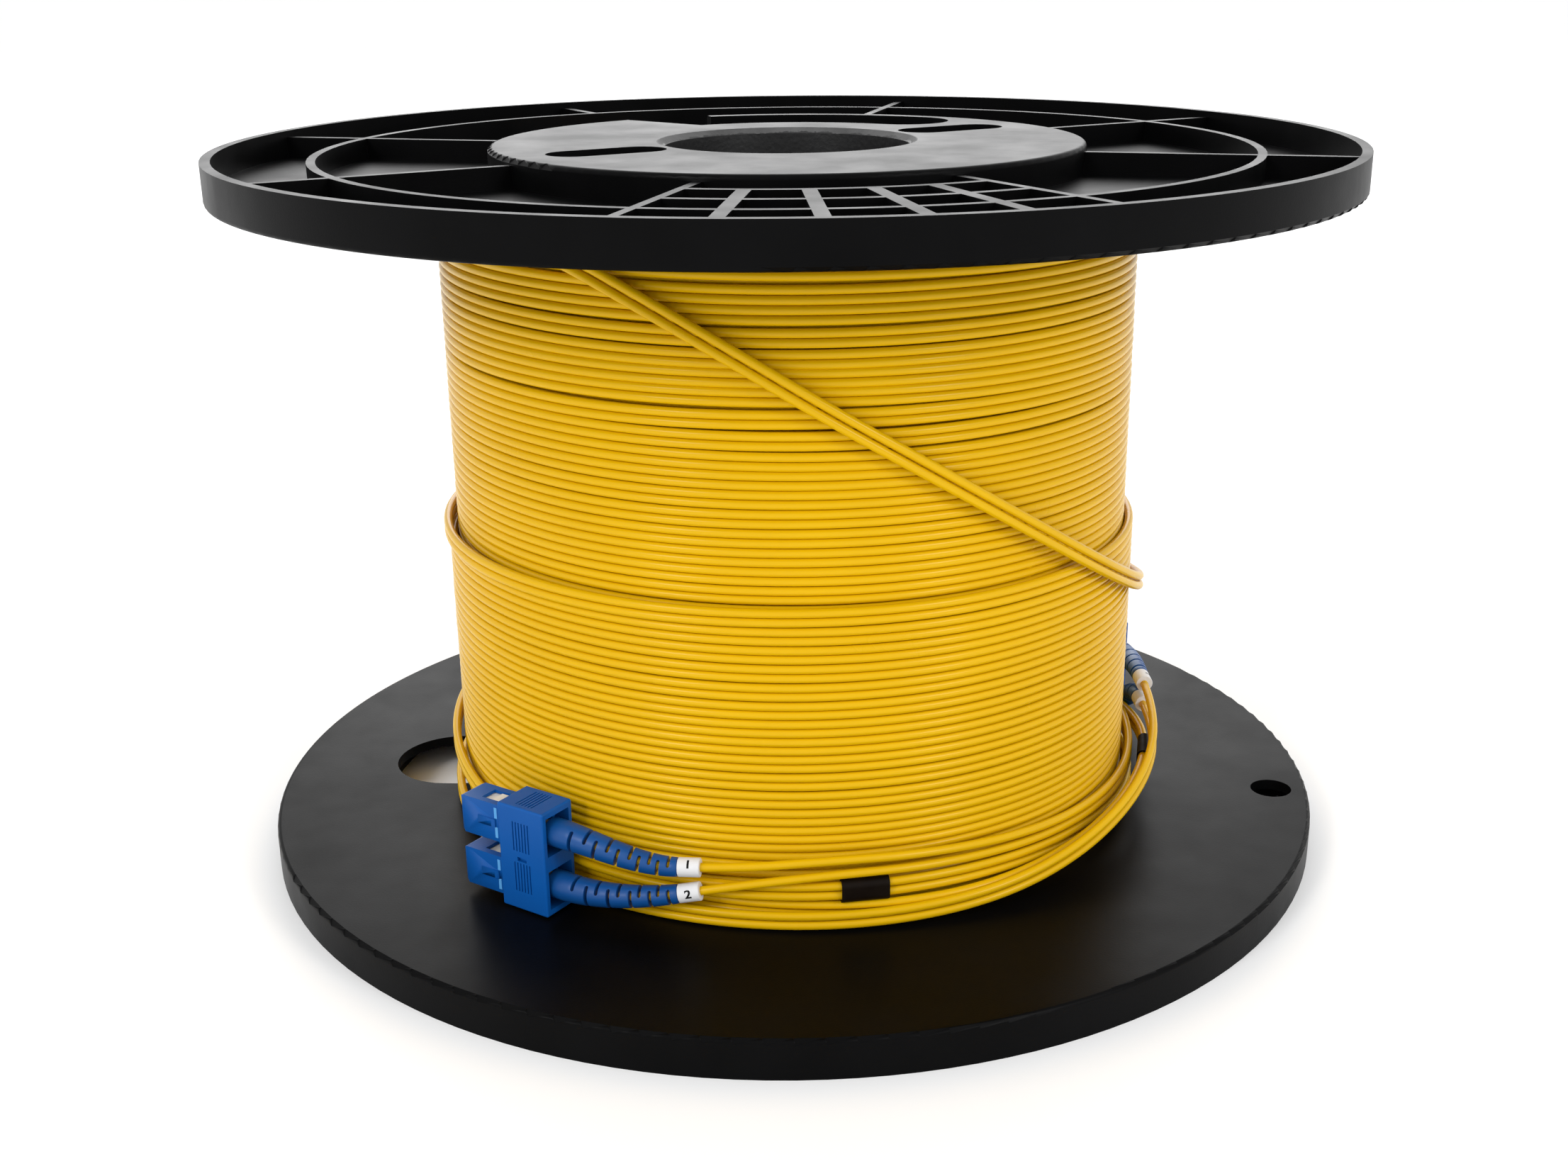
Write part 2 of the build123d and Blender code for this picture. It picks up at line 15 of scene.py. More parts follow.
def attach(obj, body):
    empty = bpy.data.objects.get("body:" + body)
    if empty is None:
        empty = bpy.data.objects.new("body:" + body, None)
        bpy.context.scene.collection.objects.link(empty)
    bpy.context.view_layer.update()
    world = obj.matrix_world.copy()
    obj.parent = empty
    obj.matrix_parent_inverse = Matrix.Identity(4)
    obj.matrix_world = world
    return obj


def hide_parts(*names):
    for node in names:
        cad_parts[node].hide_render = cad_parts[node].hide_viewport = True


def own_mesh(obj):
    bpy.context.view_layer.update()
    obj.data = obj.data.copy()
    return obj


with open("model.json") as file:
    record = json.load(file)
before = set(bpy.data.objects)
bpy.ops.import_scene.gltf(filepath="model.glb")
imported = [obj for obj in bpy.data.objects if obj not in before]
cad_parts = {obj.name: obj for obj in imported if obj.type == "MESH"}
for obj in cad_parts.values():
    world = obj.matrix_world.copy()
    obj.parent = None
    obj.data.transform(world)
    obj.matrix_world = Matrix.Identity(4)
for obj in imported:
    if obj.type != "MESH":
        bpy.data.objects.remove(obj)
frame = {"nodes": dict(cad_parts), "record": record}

MM = 0.001
MERGE = 0.002 * MM
LOG = logging.getLogger("cable_reel")
Colour = tuple[float, float, float]
Row = tuple[float, float, float, float]
Tree = bpy.types.NodeTree
Node = bpy.types.Node
Socket = bpy.types.NodeSocket
Value = Socket | float


# Shared tools


class Strand(Enum):
    """The two strands of a duplex cord: the value is the side of the pair's middle."""

    UPPER = 1
    LOWER = -1

    @property
    def number(self) -> int:
        """The number on the strand's marker sleeve."""
        return 1 if self is Strand.UPPER else 2


def polar(radius: float, angle: float, height: float = 0.0) -> Vector:
    """Point at a radius and an angle in degrees from +X round the reel's axis."""
    turn = math.radians(angle)
    return Vector((radius * math.cos(turn), radius * math.sin(turn), height))


def start_fresh() -> None:
    """Leave edit mode and deselect every object."""
    if bpy.context.object is not None and bpy.context.object.mode != "OBJECT":
        bpy.ops.object.mode_set(mode="OBJECT")
    bpy.ops.object.select_all(action="DESELECT")


def make_active(piece: bpy.types.Object) -> None:
    """Select one object only and make it the active one."""
    start_fresh()
    piece.select_set(True)
    bpy.context.view_layer.objects.active = piece


def edit_all(piece: bpy.types.Object) -> None:
    """Open one object in edit mode with all of it selected."""
    make_active(piece)
    bpy.ops.object.mode_set(mode="EDIT")
    bpy.ops.mesh.select_all(action="SELECT")


def leave_edit() -> None:
    """Go back from edit mode to object mode."""
    bpy.ops.object.mode_set(mode="OBJECT")


def settle(piece: bpy.types.Object) -> None:
    """Move an object's place, turn and scale into its mesh."""
    make_active(piece)
    bpy.ops.object.transform_apply(location=True, rotation=True, scale=True)


def apply_modifiers(piece: bpy.types.Object) -> None:
    """Apply every modifier of an object, from first to last."""
    make_active(piece)
    for modifier in list(piece.modifiers):
        bpy.ops.object.modifier_apply(modifier=modifier.name)


def select_points(piece: bpy.types.Object, wanted: Callable[[Vector], bool]) -> None:
    """Select the points of the object in edit mode whose place passes a test.

    Args:
        piece: the object, in edit mode.
        wanted: a test of a point's place.
    """
    bpy.ops.mesh.select_mode(type="VERT")
    bpy.ops.mesh.select_all(action="DESELECT")
    bpy.ops.object.mode_set(mode="OBJECT")
    for point in piece.data.vertices:
        point.select = wanted(point.co)
    bpy.ops.object.mode_set(mode="EDIT")


def smooth_below(piece: bpy.types.Object, angle: float) -> None:
    """Shade an object smooth except over edges that turn by more than an angle in degrees."""
    make_active(piece)
    bpy.ops.object.shade_smooth_by_angle(angle=math.radians(angle))


def round_edges(
    piece: bpy.types.Object, width: float, angle: float = 35.0, miter: str = "MITER_SHARP"
) -> None:
    """Round an object's sharp edges.

    Args:
        piece: the object.
        width: width of the rounding in metres.
        angle: edges that turn by more than this many degrees are rounded.
        miter: how the roundings meet on the outer side of a corner.
    """
    bevel = piece.modifiers.new("edges", "BEVEL")
    bevel.width = width
    bevel.segments = 2
    bevel.limit_method = "ANGLE"
    bevel.angle_limit = math.radians(angle)
    bevel.miter_outer = miter
    apply_modifiers(piece)


def finish_piece(
    piece: bpy.types.Object, body: str, material: bpy.types.Material
) -> None:
    """Dress a new piece and let it ride on a body.

    Args:
        piece: the finished object, in place.
        body: the CAD body that it moves with.
        material: the finish.
    """
    piece.data.materials.clear()
    piece.data.materials.append(material)
    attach(piece, body)
    LOG.info("%s rides on %s", piece.name, body)


def merged_copy(node: str, name: str) -> bpy.types.Object:
    """Copy of a CAD node with its loose triangles merged into one skin.

    Args:
        node: the CAD node.
        name: the copy's name.

    Returns:
        The copy, which replaces the node.
    """
    copy = bpy.data.objects.new(name, frame["nodes"][node].data.copy())
    bpy.context.scene.collection.objects.link(copy)
    edit_all(copy)
    bpy.ops.mesh.remove_doubles(threshold=MERGE)
    leave_edit()
    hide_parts(node)
    return copy


def rounded_copy(node: str, name: str, edge: float) -> bpy.types.Object:
    """Copy of a CAD node with its sharp edges rounded, as a moulding has them.

    Args:
        node: the CAD node.
        name: the copy's name.
        edge: width of the rounding in metres.

    Returns:
        The copy, which replaces the node.
    """
    copy = merged_copy(node, name)
    edit_all(copy)
    bpy.ops.mesh.dissolve_limited(angle_limit=math.radians(0.5))
    leave_edit()
    round_edges(copy, edge, miter="MITER_ARC")
    smooth_below(copy, 40)
    level = copy.modifiers.new("level", "WEIGHTED_NORMAL")
    level.mode = "FACE_AREA"
    level.weight = 100
    level.keep_sharp = True
    apply_modifiers(copy)
    return copy


def turned_rod(name: str, stations: list[tuple[float, float]], sides: int) -> bpy.types.Object:
    """Round rod along X, closed at both ends.

    Args:
        name: the object's name.
        stations: place along X and radius of each ring, in metres.
        sides: how many sides the rod has.

    Returns:
        The rod.
    """
    start_fresh()
    at, wide = stations[0]
    bpy.ops.mesh.primitive_circle_add(
        vertices=sides, radius=wide, fill_type="NGON",
        location=(at, 0, 0), rotation=(0, math.radians(90), 0),
    )
    rod = bpy.context.object
    rod.name = name
    settle(rod)
    edit_all(rod)
    for place, radius in stations[1:]:
        bpy.ops.mesh.extrude_region_move(TRANSFORM_OT_translate={"value": (place - at, 0, 0)})
        share = radius / wide
        bpy.ops.transform.resize(value=(1, share, share), center_override=(place, 0, 0))
        at, wide = place, radius
    bpy.ops.mesh.select_all(action="SELECT")
    bpy.ops.mesh.normals_make_consistent(inside=False)
    leave_edit()
    return rod


def block(name: str, place: Vector, size: Vector, face: Matrix) -> bpy.types.Object:
    """Rectangular block.

    Args:
        name: the object's name.
        place: the block's middle.
        size: its sides in metres.
        face: how it is turned about its middle.

    Returns:
        The block.
    """
    start_fresh()
    bpy.ops.mesh.primitive_cube_add(size=1)
    piece = bpy.context.object
    piece.name = name
    piece.matrix_world = Matrix.Translation(place) @ face @ Matrix.Diagonal((*size, 1.0))
    settle(piece)
    return piece


def cut_away(piece: bpy.types.Object, cutter: bpy.types.Object) -> None:
    """Cut one piece out of another and remove the cutter.

    Args:
        piece: the piece that is cut.
        cutter: the shape of the cut.
    """
    cut = piece.modifiers.new("cut", "BOOLEAN")
    cut.operation = "DIFFERENCE"
    cut.solver = "EXACT"
    cut.object = cutter
    apply_modifiers(piece)
    bpy.data.objects.remove(cutter)


def strand_curve(name: str, points: list[Vector], diameter: float, steps: int) -> bpy.types.Object:
    """Round strand on one smooth line.

    Args:
        name: the object's name.
        points: control points of the line, in metres.
        diameter: the strand's diameter in metres.
        steps: how finely each stretch between control points is divided.

    Returns:
        The curve object.
    """
    curve = bpy.data.curves.new(name, "CURVE")
    curve.dimensions = "3D"
    curve.bevel_depth = diameter / 2
    curve.bevel_resolution = 5
    curve.resolution_u = steps
    curve.render_resolution_u = steps
    curve.use_fill_caps = True
    spline = curve.splines.new("NURBS")
    spline.points.add(len(points) - 1)
    for place, point in zip(spline.points, points):
        place.co = (*point, 1.0)
    spline.order_u = 3
    spline.use_endpoint_u = True
    strand = bpy.data.objects.new(name, curve)
    bpy.context.scene.collection.objects.link(strand)
    return strand


# Finishes


def node_group(
    name: str, inputs: dict[str, tuple[str, float]], outputs: dict[str, str]
) -> tuple[Tree, Node, Node]:
    """Empty shader group with its sockets.

    Args:
        name: the group's name.
        inputs: socket name to kind and starting value; a Vector takes none.
        outputs: socket name to kind.

    Returns:
        The group, its input node and its output node.
    """
    group = bpy.data.node_groups.new(name, "ShaderNodeTree")
    for label, (kind, value) in inputs.items():
        socket = group.interface.new_socket(
            name=label, in_out="INPUT", socket_type=f"NodeSocket{kind}"
        )
        if kind == "Float":
            socket.default_value = value
    for label, kind in outputs.items():
        group.interface.new_socket(name=label, in_out="OUTPUT", socket_type=f"NodeSocket{kind}")
    return group, group.nodes.new("NodeGroupInput"), group.nodes.new("NodeGroupOutput")


def maths(
    group: Tree, operation: str, first: Value, second: Value | None = None, clamp: bool = False
) -> Socket:
    """Math node in a tree.

    Args:
        group: the node tree.
        operation: the node's operation.
        first: a socket or a number.
        second: a socket or a number, or None.
        clamp: keep the result between 0 and 1.

    Returns:
        The result's socket.
    """
    node = group.nodes.new("ShaderNodeMath")
    node.operation = operation
    node.use_clamp = clamp
    for place, value in enumerate((first, second)):
        if value is None:
            continue
        if isinstance(value, (int, float)):
            node.inputs[place].default_value = value
        else:
            group.links.new(value, node.inputs[place])
    return node.outputs[0]


def noise(group: Tree, vector: Socket, scale: Value, detail: float, roughness: float) -> Socket:
    """Noise texture in a tree.

    Args:
        group: the node tree.
        vector: the place that is looked up.
        scale: a socket or a number.
        detail: how many finer layers it has.
        roughness: how strong they are.

    Returns:
        The noise's factor.
    """
    node = group.nodes.new("ShaderNodeTexNoise")
    node.inputs["Detail"].default_value = detail
    node.inputs["Roughness"].default_value = roughness
    group.links.new(vector, node.inputs["Vector"])
    if isinstance(scale, (int, float)):
        node.inputs["Scale"].default_value = scale
    else:
        group.links.new(scale, node.inputs["Scale"])
    return node.outputs["Fac"]


def surface_grain() -> Tree:
    """Group for moulded and drawn surfaces: a fine grain and a slow mottle.

    Returns:
        The group, with outputs Height for bumps and Mottle for slow variation.
    """
    if "surface_grain" in bpy.data.node_groups:
        return bpy.data.node_groups["surface_grain"]
    group, given, result = node_group(
        "surface_grain",
        {
            "Vector": ("Vector", 0.0),
            "Grain Scale": ("Float", 1500.0),
            "Mottle Scale": ("Float", 60.0),
        },
        {"Height": "Float", "Mottle": "Float"},
    )
    fine = noise(group, given.outputs["Vector"], given.outputs["Grain Scale"], 3.0, 0.6)
    cells = group.nodes.new("ShaderNodeTexVoronoi")
    group.links.new(given.outputs["Vector"], cells.inputs["Vector"])
    group.links.new(given.outputs["Grain Scale"], cells.inputs["Scale"])
    pits = maths(group, "MULTIPLY", cells.outputs["Distance"], 0.5)
    group.links.new(maths(group, "ADD", fine, pits), result.inputs["Height"])
    slow = noise(group, given.outputs["Vector"], given.outputs["Mottle Scale"], 4.0, 0.55)
    stretched = maths(group, "MULTIPLY_ADD", slow, 2.4)
    stretched.node.inputs[2].default_value = -0.7
    stretched.node.use_clamp = True
    group.links.new(stretched, result.inputs["Mottle"])
    return group


def level_band() -> Tree:
    """Group for a mark that follows a height: a ragged band round the reel.

    Returns:
        The group, with output Mask, 1 inside the band.
    """
    if "level_band" in bpy.data.node_groups:
        return bpy.data.node_groups["level_band"]
    group, given, result = node_group(
        "level_band",
        {
            "Vector": ("Vector", 0.0),
            "Height": ("Float", 0.1),
            "Half Width": ("Float", 0.001),
            "Raggedness": ("Float", 0.001),
            "Scale": ("Float", 400.0),
        },
        {"Mask": "Float"},
    )
    split = group.nodes.new("ShaderNodeSeparateXYZ")
    group.links.new(given.outputs["Vector"], split.inputs[0])
    above = maths(group, "SUBTRACT", split.outputs["Z"], given.outputs["Height"])
    away = maths(group, "ABSOLUTE", above)
    edge = noise(group, given.outputs["Vector"], given.outputs["Scale"], 5.0, 0.7)
    ragged = maths(group, "SUBTRACT", edge, 0.5)
    shift = maths(group, "MULTIPLY", ragged, given.outputs["Raggedness"])
    inside = maths(group, "SUBTRACT", given.outputs["Half Width"], maths(group, "ADD", away, shift))
    soft = maths(group, "MULTIPLY", inside, 8000.0, clamp=True)
    group.links.new(soft, result.inputs["Mask"])
    return group


class Paint:
    """A material's nodes while it is being made."""

    def __init__(self, name: str) -> None:
        """Start a material with a Principled BSDF and Object coordinates."""
        self.material = bpy.data.materials.new(name)
        self.material.use_nodes = True
        self.tree = self.material.node_tree
        self.shader = next(n for n in self.tree.nodes if n.type == "BSDF_PRINCIPLED")
        self.place = self.tree.nodes.new("ShaderNodeTexCoord").outputs["Object"]

    def set(self, **values: float) -> None:
        """Set the shader's own sockets; an underscore in a name stands for a space."""
        for label, value in values.items():
            self.shader.inputs[label.replace("_", " ")].default_value = value

    def grain(self, scale: float, mottle: float) -> Node:
        """Place the shared grain group.

        Args:
            scale: scale of the fine grain.
            mottle: scale of the slow variation.

        Returns:
            The group's node.
        """
        node = self.tree.nodes.new("ShaderNodeGroup")
        node.node_tree = surface_grain()
        self.tree.links.new(self.place, node.inputs["Vector"])
        node.inputs["Grain Scale"].default_value = scale
        node.inputs["Mottle Scale"].default_value = mottle
        return node

    def band(self, height: float, half: float, ragged: float, scale: float) -> Socket:
        """Place the shared band group.

        Args:
            height: the band's middle in metres.
            half: half its width.
            ragged: how far its edges wander.
            scale: how finely they wander.

        Returns:
            The band's mask.
        """
        node = self.tree.nodes.new("ShaderNodeGroup")
        node.node_tree = level_band()
        self.tree.links.new(self.place, node.inputs["Vector"])
        node.inputs["Height"].default_value = height
        node.inputs["Half Width"].default_value = half
        node.inputs["Raggedness"].default_value = ragged
        node.inputs["Scale"].default_value = scale
        return node.outputs["Mask"]

    def mix(self, mask: Socket, first: Colour, second: Colour) -> Socket:
        """Mix two colours.

        Args:
            mask: 0 for the first colour and 1 for the second.
            first: the first colour.
            second: the second colour.

        Returns:
            The mixed colour.
        """
        node = self.tree.nodes.new("ShaderNodeMix")
        node.data_type = "RGBA"
        self.tree.links.new(mask, node.inputs["Factor"])
        for label, value in (("A", first), ("B", second)):
            socket = next(s for s in node.inputs if s.name == label and s.type == "RGBA")
            socket.default_value = (*value, 1.0)
        return next(s for s in node.outputs if s.type == "RGBA")

    def spread(self, mask: Socket, low: float, high: float) -> Socket:
        """Turn a mask into a number.

        Args:
            mask: the mask, from 0 to 1.
            low: the number at 0.
            high: the number at 1.

        Returns:
            The number's socket.
        """
        node = self.tree.nodes.new("ShaderNodeMapRange")
        self.tree.links.new(mask, node.inputs["Value"])
        node.inputs["To Min"].default_value = low
        node.inputs["To Max"].default_value = high
        return node.outputs["Result"]

    def bump(self, height: Socket, depth: float) -> None:
        """Feed a height to the shader's normal.

        Args:
            height: the height, from 0 to about 1.
            depth: what a height of 1 stands for, in metres.
        """
        node = self.tree.nodes.new("ShaderNodeBump")
        node.inputs["Distance"].default_value = depth
        self.tree.links.new(height, node.inputs["Height"])
        self.tree.links.new(node.outputs["Normal"], self.shader.inputs["Normal"])

    def feed(self, label: str, value: Socket) -> None:
        """Link a socket to one of the shader's inputs."""
        self.tree.links.new(value, self.shader.inputs[label])


@dataclass(frozen=True)
class Finish:
    """A surface with a fine grain, a slow change of tone and a gloss that varies with it."""

    name: str
    colour: Colour
    second: Colour
    matt: float
    gloss: float
    grain_depth: float
    grain_scale: float = 2600.0
    mottle_scale: float = 90.0
    specular: float = 0.5
    metal: float = 0.0

    def material(self) -> bpy.types.Material:
        """Make the material once and return it."""
        if self.name in bpy.data.materials:
            return bpy.data.materials[self.name]
        paint = Paint(self.name)
        grain = paint.grain(self.grain_scale, self.mottle_scale)
        paint.feed("Base Color", paint.mix(grain.outputs["Mottle"], self.colour, self.second))
        paint.feed("Roughness", paint.spread(grain.outputs["Mottle"], self.gloss, self.matt))
        paint.bump(grain.outputs["Height"], self.grain_depth)
        paint.set(Specular_IOR_Level=self.specular, Metallic=self.metal)
        return paint.material


@dataclass(frozen=True)
class WornTube:
    """The arbor's black tube, scraped light where its mouths were turned."""

    name: str
    colour: Colour
    scraped: Colour
    mouths: tuple[float, float]
    half_width: float
    ragged: float = 2.2 * MM
    ragged_scale: float = 260.0
    grain_scale: float = 900.0
    mottle_scale: float = 90.0
    plain_rough: float = 0.42
    scraped_rough: float = 0.7

    def material(self) -> bpy.types.Material:
        """Make the material once and return it."""
        if self.name in bpy.data.materials:
            return bpy.data.materials[self.name]
        paint = Paint(self.name)
        grain = paint.grain(self.grain_scale, self.mottle_scale)
        low, high = (
            paint.band(z, self.half_width, self.ragged, self.ragged_scale) for z in self.mouths
        )
        scraped = maths(paint.tree, "MAXIMUM", low, high)
        patches = paint.spread(grain.outputs["Mottle"], 0.35, 1.0)
        patchy = maths(paint.tree, "MULTIPLY", scraped, patches)
        paint.feed("Base Color", paint.mix(patchy, self.colour, self.scraped))
        paint.feed("Roughness", paint.spread(scraped, self.plain_rough, self.scraped_rough))
        paint.bump(grain.outputs["Height"], 0.05 * MM)
        paint.set(Specular_IOR_Level=0.5)
        return paint.material


JACKET = Finish(
    "cord_jacket", (0.685, 0.404, 0.0013), (0.66, 0.384, 0.0011), matt=0.28, gloss=0.21,
    grain_scale=500.0, grain_depth=0.0003 * MM, mottle_scale=45.0, specular=0.16,
)
FLANGE = Finish(
    "flange_moulding", (0.0016, 0.0016, 0.0017), (0.0024, 0.0024, 0.0026), matt=0.42,
    gloss=0.32, grain_scale=2200.0, grain_depth=0.01 * MM, mottle_scale=55.0, specular=0.045,
)
CORE = Finish(
    "core_board", (0.16, 0.11, 0.07), (0.11, 0.075, 0.045), matt=0.85, gloss=0.7,
    grain_scale=900.0, grain_depth=0.03 * MM, mottle_scale=80.0,
)
ARBOR = WornTube("arbor_tube", (0.006, 0.006, 0.0063), (0.10, 0.10, 0.10), (0.0, 0.1666), 1.1 * MM)
PLUG_BLUE = Finish(
    "plug_moulding", (0.003, 0.086, 0.345), (0.0027, 0.078, 0.32), matt=0.42, gloss=0.34,
    grain_depth=0.006 * MM, specular=0.15,
)
BOOT_BLUE = Finish(
    "boot_blue", (0.003, 0.066, 0.25), (0.0028, 0.058, 0.225), matt=0.46, gloss=0.36,
    grain_depth=0.006 * MM, specular=0.3,
)
MARK_BLUE = Finish(
    "mark_blue", (0.1, 0.36, 0.72), (0.09, 0.33, 0.68), matt=0.6, gloss=0.5,
    grain_depth=0.002 * MM, specular=0.25,
)
FRAME_WHITE = Finish(
    "plug_frame_white", (0.75, 0.75, 0.72), (0.68, 0.68, 0.65), matt=0.45, gloss=0.35,
    grain_scale=2200.0, grain_depth=0.008 * MM,
)
CERAMIC = Finish(
    "ferrule_ceramic", (0.8, 0.79, 0.76), (0.76, 0.75, 0.72), matt=0.2, gloss=0.12,
    grain_scale=3000.0, grain_depth=0.002 * MM, mottle_scale=120.0,
)
STEEL = Finish(
    "spring_wire", (0.55, 0.56, 0.58), (0.45, 0.46, 0.48), matt=0.35, gloss=0.22,
    grain_scale=2500.0, grain_depth=0.004 * MM, mottle_scale=150.0, metal=1.0,
)
PLATED = Finish(
    "plated_metal", (0.62, 0.6, 0.55), (0.52, 0.5, 0.46), matt=0.38, gloss=0.25,
    grain_scale=2500.0, grain_depth=0.004 * MM, mottle_scale=150.0, metal=1.0,
)
SLEEVE_WHITE = Finish(
    "sleeve_white", (0.74, 0.74, 0.75), (0.68, 0.68, 0.69), matt=0.6, gloss=0.5,
    grain_scale=2200.0, grain_depth=0.006 * MM, mottle_scale=120.0, specular=0.25,
)
DIGIT_BLACK = Finish(
    "digit_black", (0.006, 0.006, 0.006), (0.012, 0.012, 0.012), matt=0.6, gloss=0.5,
    grain_scale=3000.0, grain_depth=0.001 * MM, mottle_scale=200.0, specular=0.1,
)
HEAT_SHRINK = Finish(
    "shrunk_tube", (0.005, 0.003, 0.002), (0.008, 0.005, 0.003), matt=0.6, gloss=0.42,
    grain_scale=1800.0, grain_depth=0.02 * MM, mottle_scale=160.0, specular=0.06,
)

SLOT_FINISH = {
    "flange": FLANGE,
    "core": CORE,
    "arbor": ARBOR,
    "jacket": JACKET,
    "plug_blue": PLUG_BLUE,
    "frame_white": FRAME_WHITE,
    "ceramic": CERAMIC,
    "spring_steel": STEEL,
    "metal": PLATED,
    "number_white": SLEEVE_WHITE,
    "heat_shrink": HEAT_SHRINK,
}


# Cord outside the winding

# Rows of angle in degrees, then radius, middle height and half the distance between the two
# strands in metres.
FRONT_ROUTE: tuple[Row, ...] = (
    (-106.2, 0.0894, 0.0208, 0.0032),
    (-98.0, 0.0887, 0.0224, 0.0021),
    (-86.0, 0.0878, 0.0240, 0.0017),
    (-70.0, 0.0869, 0.0229, 0.0015),
    (-52.0, 0.0864, 0.0212, 0.0012),
    (-34.0, 0.0862, 0.0199, 0.0011),
    (-16.0, 0.0862, 0.0194, 0.0011),
    (2.0, 0.0862, 0.0202, 0.0011),
    (20.0, 0.0862, 0.0216, 0.0011),
    (38.0, 0.0862, 0.0233, 0.0011),
    (56.0, 0.0863, 0.0252, 0.0011),
    (74.0, 0.0863, 0.0268, 0.0011),
    (92.0, 0.0863, 0.0279, 0.0011),
    (110.0, 0.0863, 0.0286, 0.0011),
    (128.0, 0.0863, 0.0290, 0.0011),
    (146.0, 0.0863, 0.0290, 0.0011),
    (164.0, 0.0863, 0.0282, 0.0011),
    (182.0, 0.0863, 0.0263, 0.0011),
    (200.0, 0.0862, 0.0236, 0.0011),
    (218.0, 0.0862, 0.0208, 0.0011),
    (236.0, 0.0862, 0.0188, 0.0011),
    (254.0, 0.0866, 0.0179, 0.0011),
    (272.0, 0.0870, 0.0177, 0.0011),
    (288.0, 0.0870, 0.0177, 0.0011),
    (304.0, 0.0865, 0.0169, 0.0011),
    (320.0, 0.0862, 0.0157, 0.0011),
    (338.0, 0.0862, 0.0143, 0.0011),
    (356.0, 0.0862, 0.0129, 0.0011),
    (374.0, 0.0862, 0.0119, 0.0011),
    (392.0, 0.0862, 0.0115, 0.0011),
    (410.0, 0.0861, 0.0116, 0.0011),
    (426.0, 0.0854, 0.0120, 0.0011),
    (440.0, 0.0842, 0.0126, 0.0011),
    (452.0, 0.0826, 0.0131, 0.0011),
)
BACK_ROUTE: tuple[Row, ...] = (
    (2.4, 0.0898, 0.0277, 0.0029),
    (-6.0, 0.0906, 0.0274, 0.0026),
    (-20.0, 0.0926, 0.0251, 0.0016),
    (-33.0, 0.0929, 0.0210, 0.0011),
    (-46.0, 0.0924, 0.0169, 0.0011),
    (-59.0, 0.0911, 0.0135, 0.0011),
    (-73.0, 0.0892, 0.0117, 0.0011),
    (-89.0, 0.0882, 0.0113, 0.0011),
    (-106.0, 0.0870, 0.0112, 0.0011),
    (-124.0, 0.0862, 0.0112, 0.0011),
    (-142.0, 0.0862, 0.0113, 0.0011),
    (-160.0, 0.0862, 0.0119, 0.0011),
    (-178.0, 0.0862, 0.0130, 0.0011),
    (-196.0, 0.0862, 0.0142, 0.0011),
    (-214.0, 0.0863, 0.0153, 0.0011),
    (-232.0, 0.0863, 0.0161, 0.0011),
    (-250.0, 0.0863, 0.0166, 0.0011),
    (-268.0, 0.0863, 0.0169, 0.0011),
    (-286.0, 0.0862, 0.0169, 0.0011),
    (-304.0, 0.0862, 0.0167, 0.0011),
    (-322.0, 0.0862, 0.0165, 0.0011),
    (-338.0, 0.0866, 0.0168, 0.0011),
    (-352.0, 0.0880, 0.0184, 0.0011),
    (-366.0, 0.0894, 0.0201, 0.0011),
    (-380.0, 0.0899, 0.0200, 0.0011),
    (-394.0, 0.0900, 0.0179, 0.0011),
    (-408.0, 0.0898, 0.0152, 0.0011),
    (-422.0, 0.0888, 0.0132, 0.0011),
    (-436.0, 0.0872, 0.0128, 0.0011),
    (-450.0, 0.0854, 0.0129, 0.0011),
    (-464.0, 0.0836, 0.0130, 0.0011),
    (-476.0, 0.0822, 0.0132, 0.0011),
)
CROSSING_ROUTE: tuple[Row, ...] = (
    (-144.0, 0.0796, 0.1554, 0.0011),
    (-133.5, 0.0818, 0.1545, 0.00115),
    (-122.0, 0.0836, 0.1509, 0.0012),
    (-109.5, 0.0840, 0.1430, 0.00125),
    (-97.0, 0.0840, 0.1331, 0.00128),
    (-84.0, 0.0840, 0.1213, 0.0013),
    (-70.0, 0.0841, 0.1088, 0.0013),
    (-57.0, 0.0847, 0.0969, 0.0013),
    (-44.0, 0.0858, 0.0852, 0.00128),
    (-31.0, 0.0863, 0.0748, 0.00125),
    (-17.0, 0.0864, 0.0662, 0.0012),
    (-2.0, 0.0861, 0.0604, 0.00115),
    (13.0, 0.0849, 0.0572, 0.0011),
    (26.0, 0.0826, 0.0559, 0.0011),
)


@dataclass
class FreePair:
    """Two strands of the cord that lie along one route outside the winding."""

    name: str
    route: tuple[Row, ...]
    strand_length: float
    diameter: float = 2.0 * MM
    steps: int = 8

    def points(self, strand: Strand) -> list[Vector]:
        """Control points of one strand's line, in metres."""
        return [
            polar(radius, angle, height + strand.value * half_gap)
            for angle, radius, height, half_gap in self.route
        ]

    def build(self) -> dict[Strand, bpy.types.Object]:
        """Model both strands.

        Returns:
            The curve object of each strand.
        """
        strands = {}
        for strand in Strand:
            node = f"{self.name}_{strand.number}"
            piece = strand_curve(f"{node}_jacket", self.points(strand), self.diameter, self.steps)
            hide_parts(node)
            strands[strand] = piece
        return strands

    def dress(self, strands: dict[Strand, bpy.types.Object]) -> None:
        """Give both strands the jacket's finish."""
        for piece in strands.values():
            finish_piece(piece, "spool", JACKET.material())


# Winding


@dataclass(frozen=True)
class Slack:
    """A place where neighbouring turns stand apart."""

    height: float
    angle: float
    spread: float
    opening: float


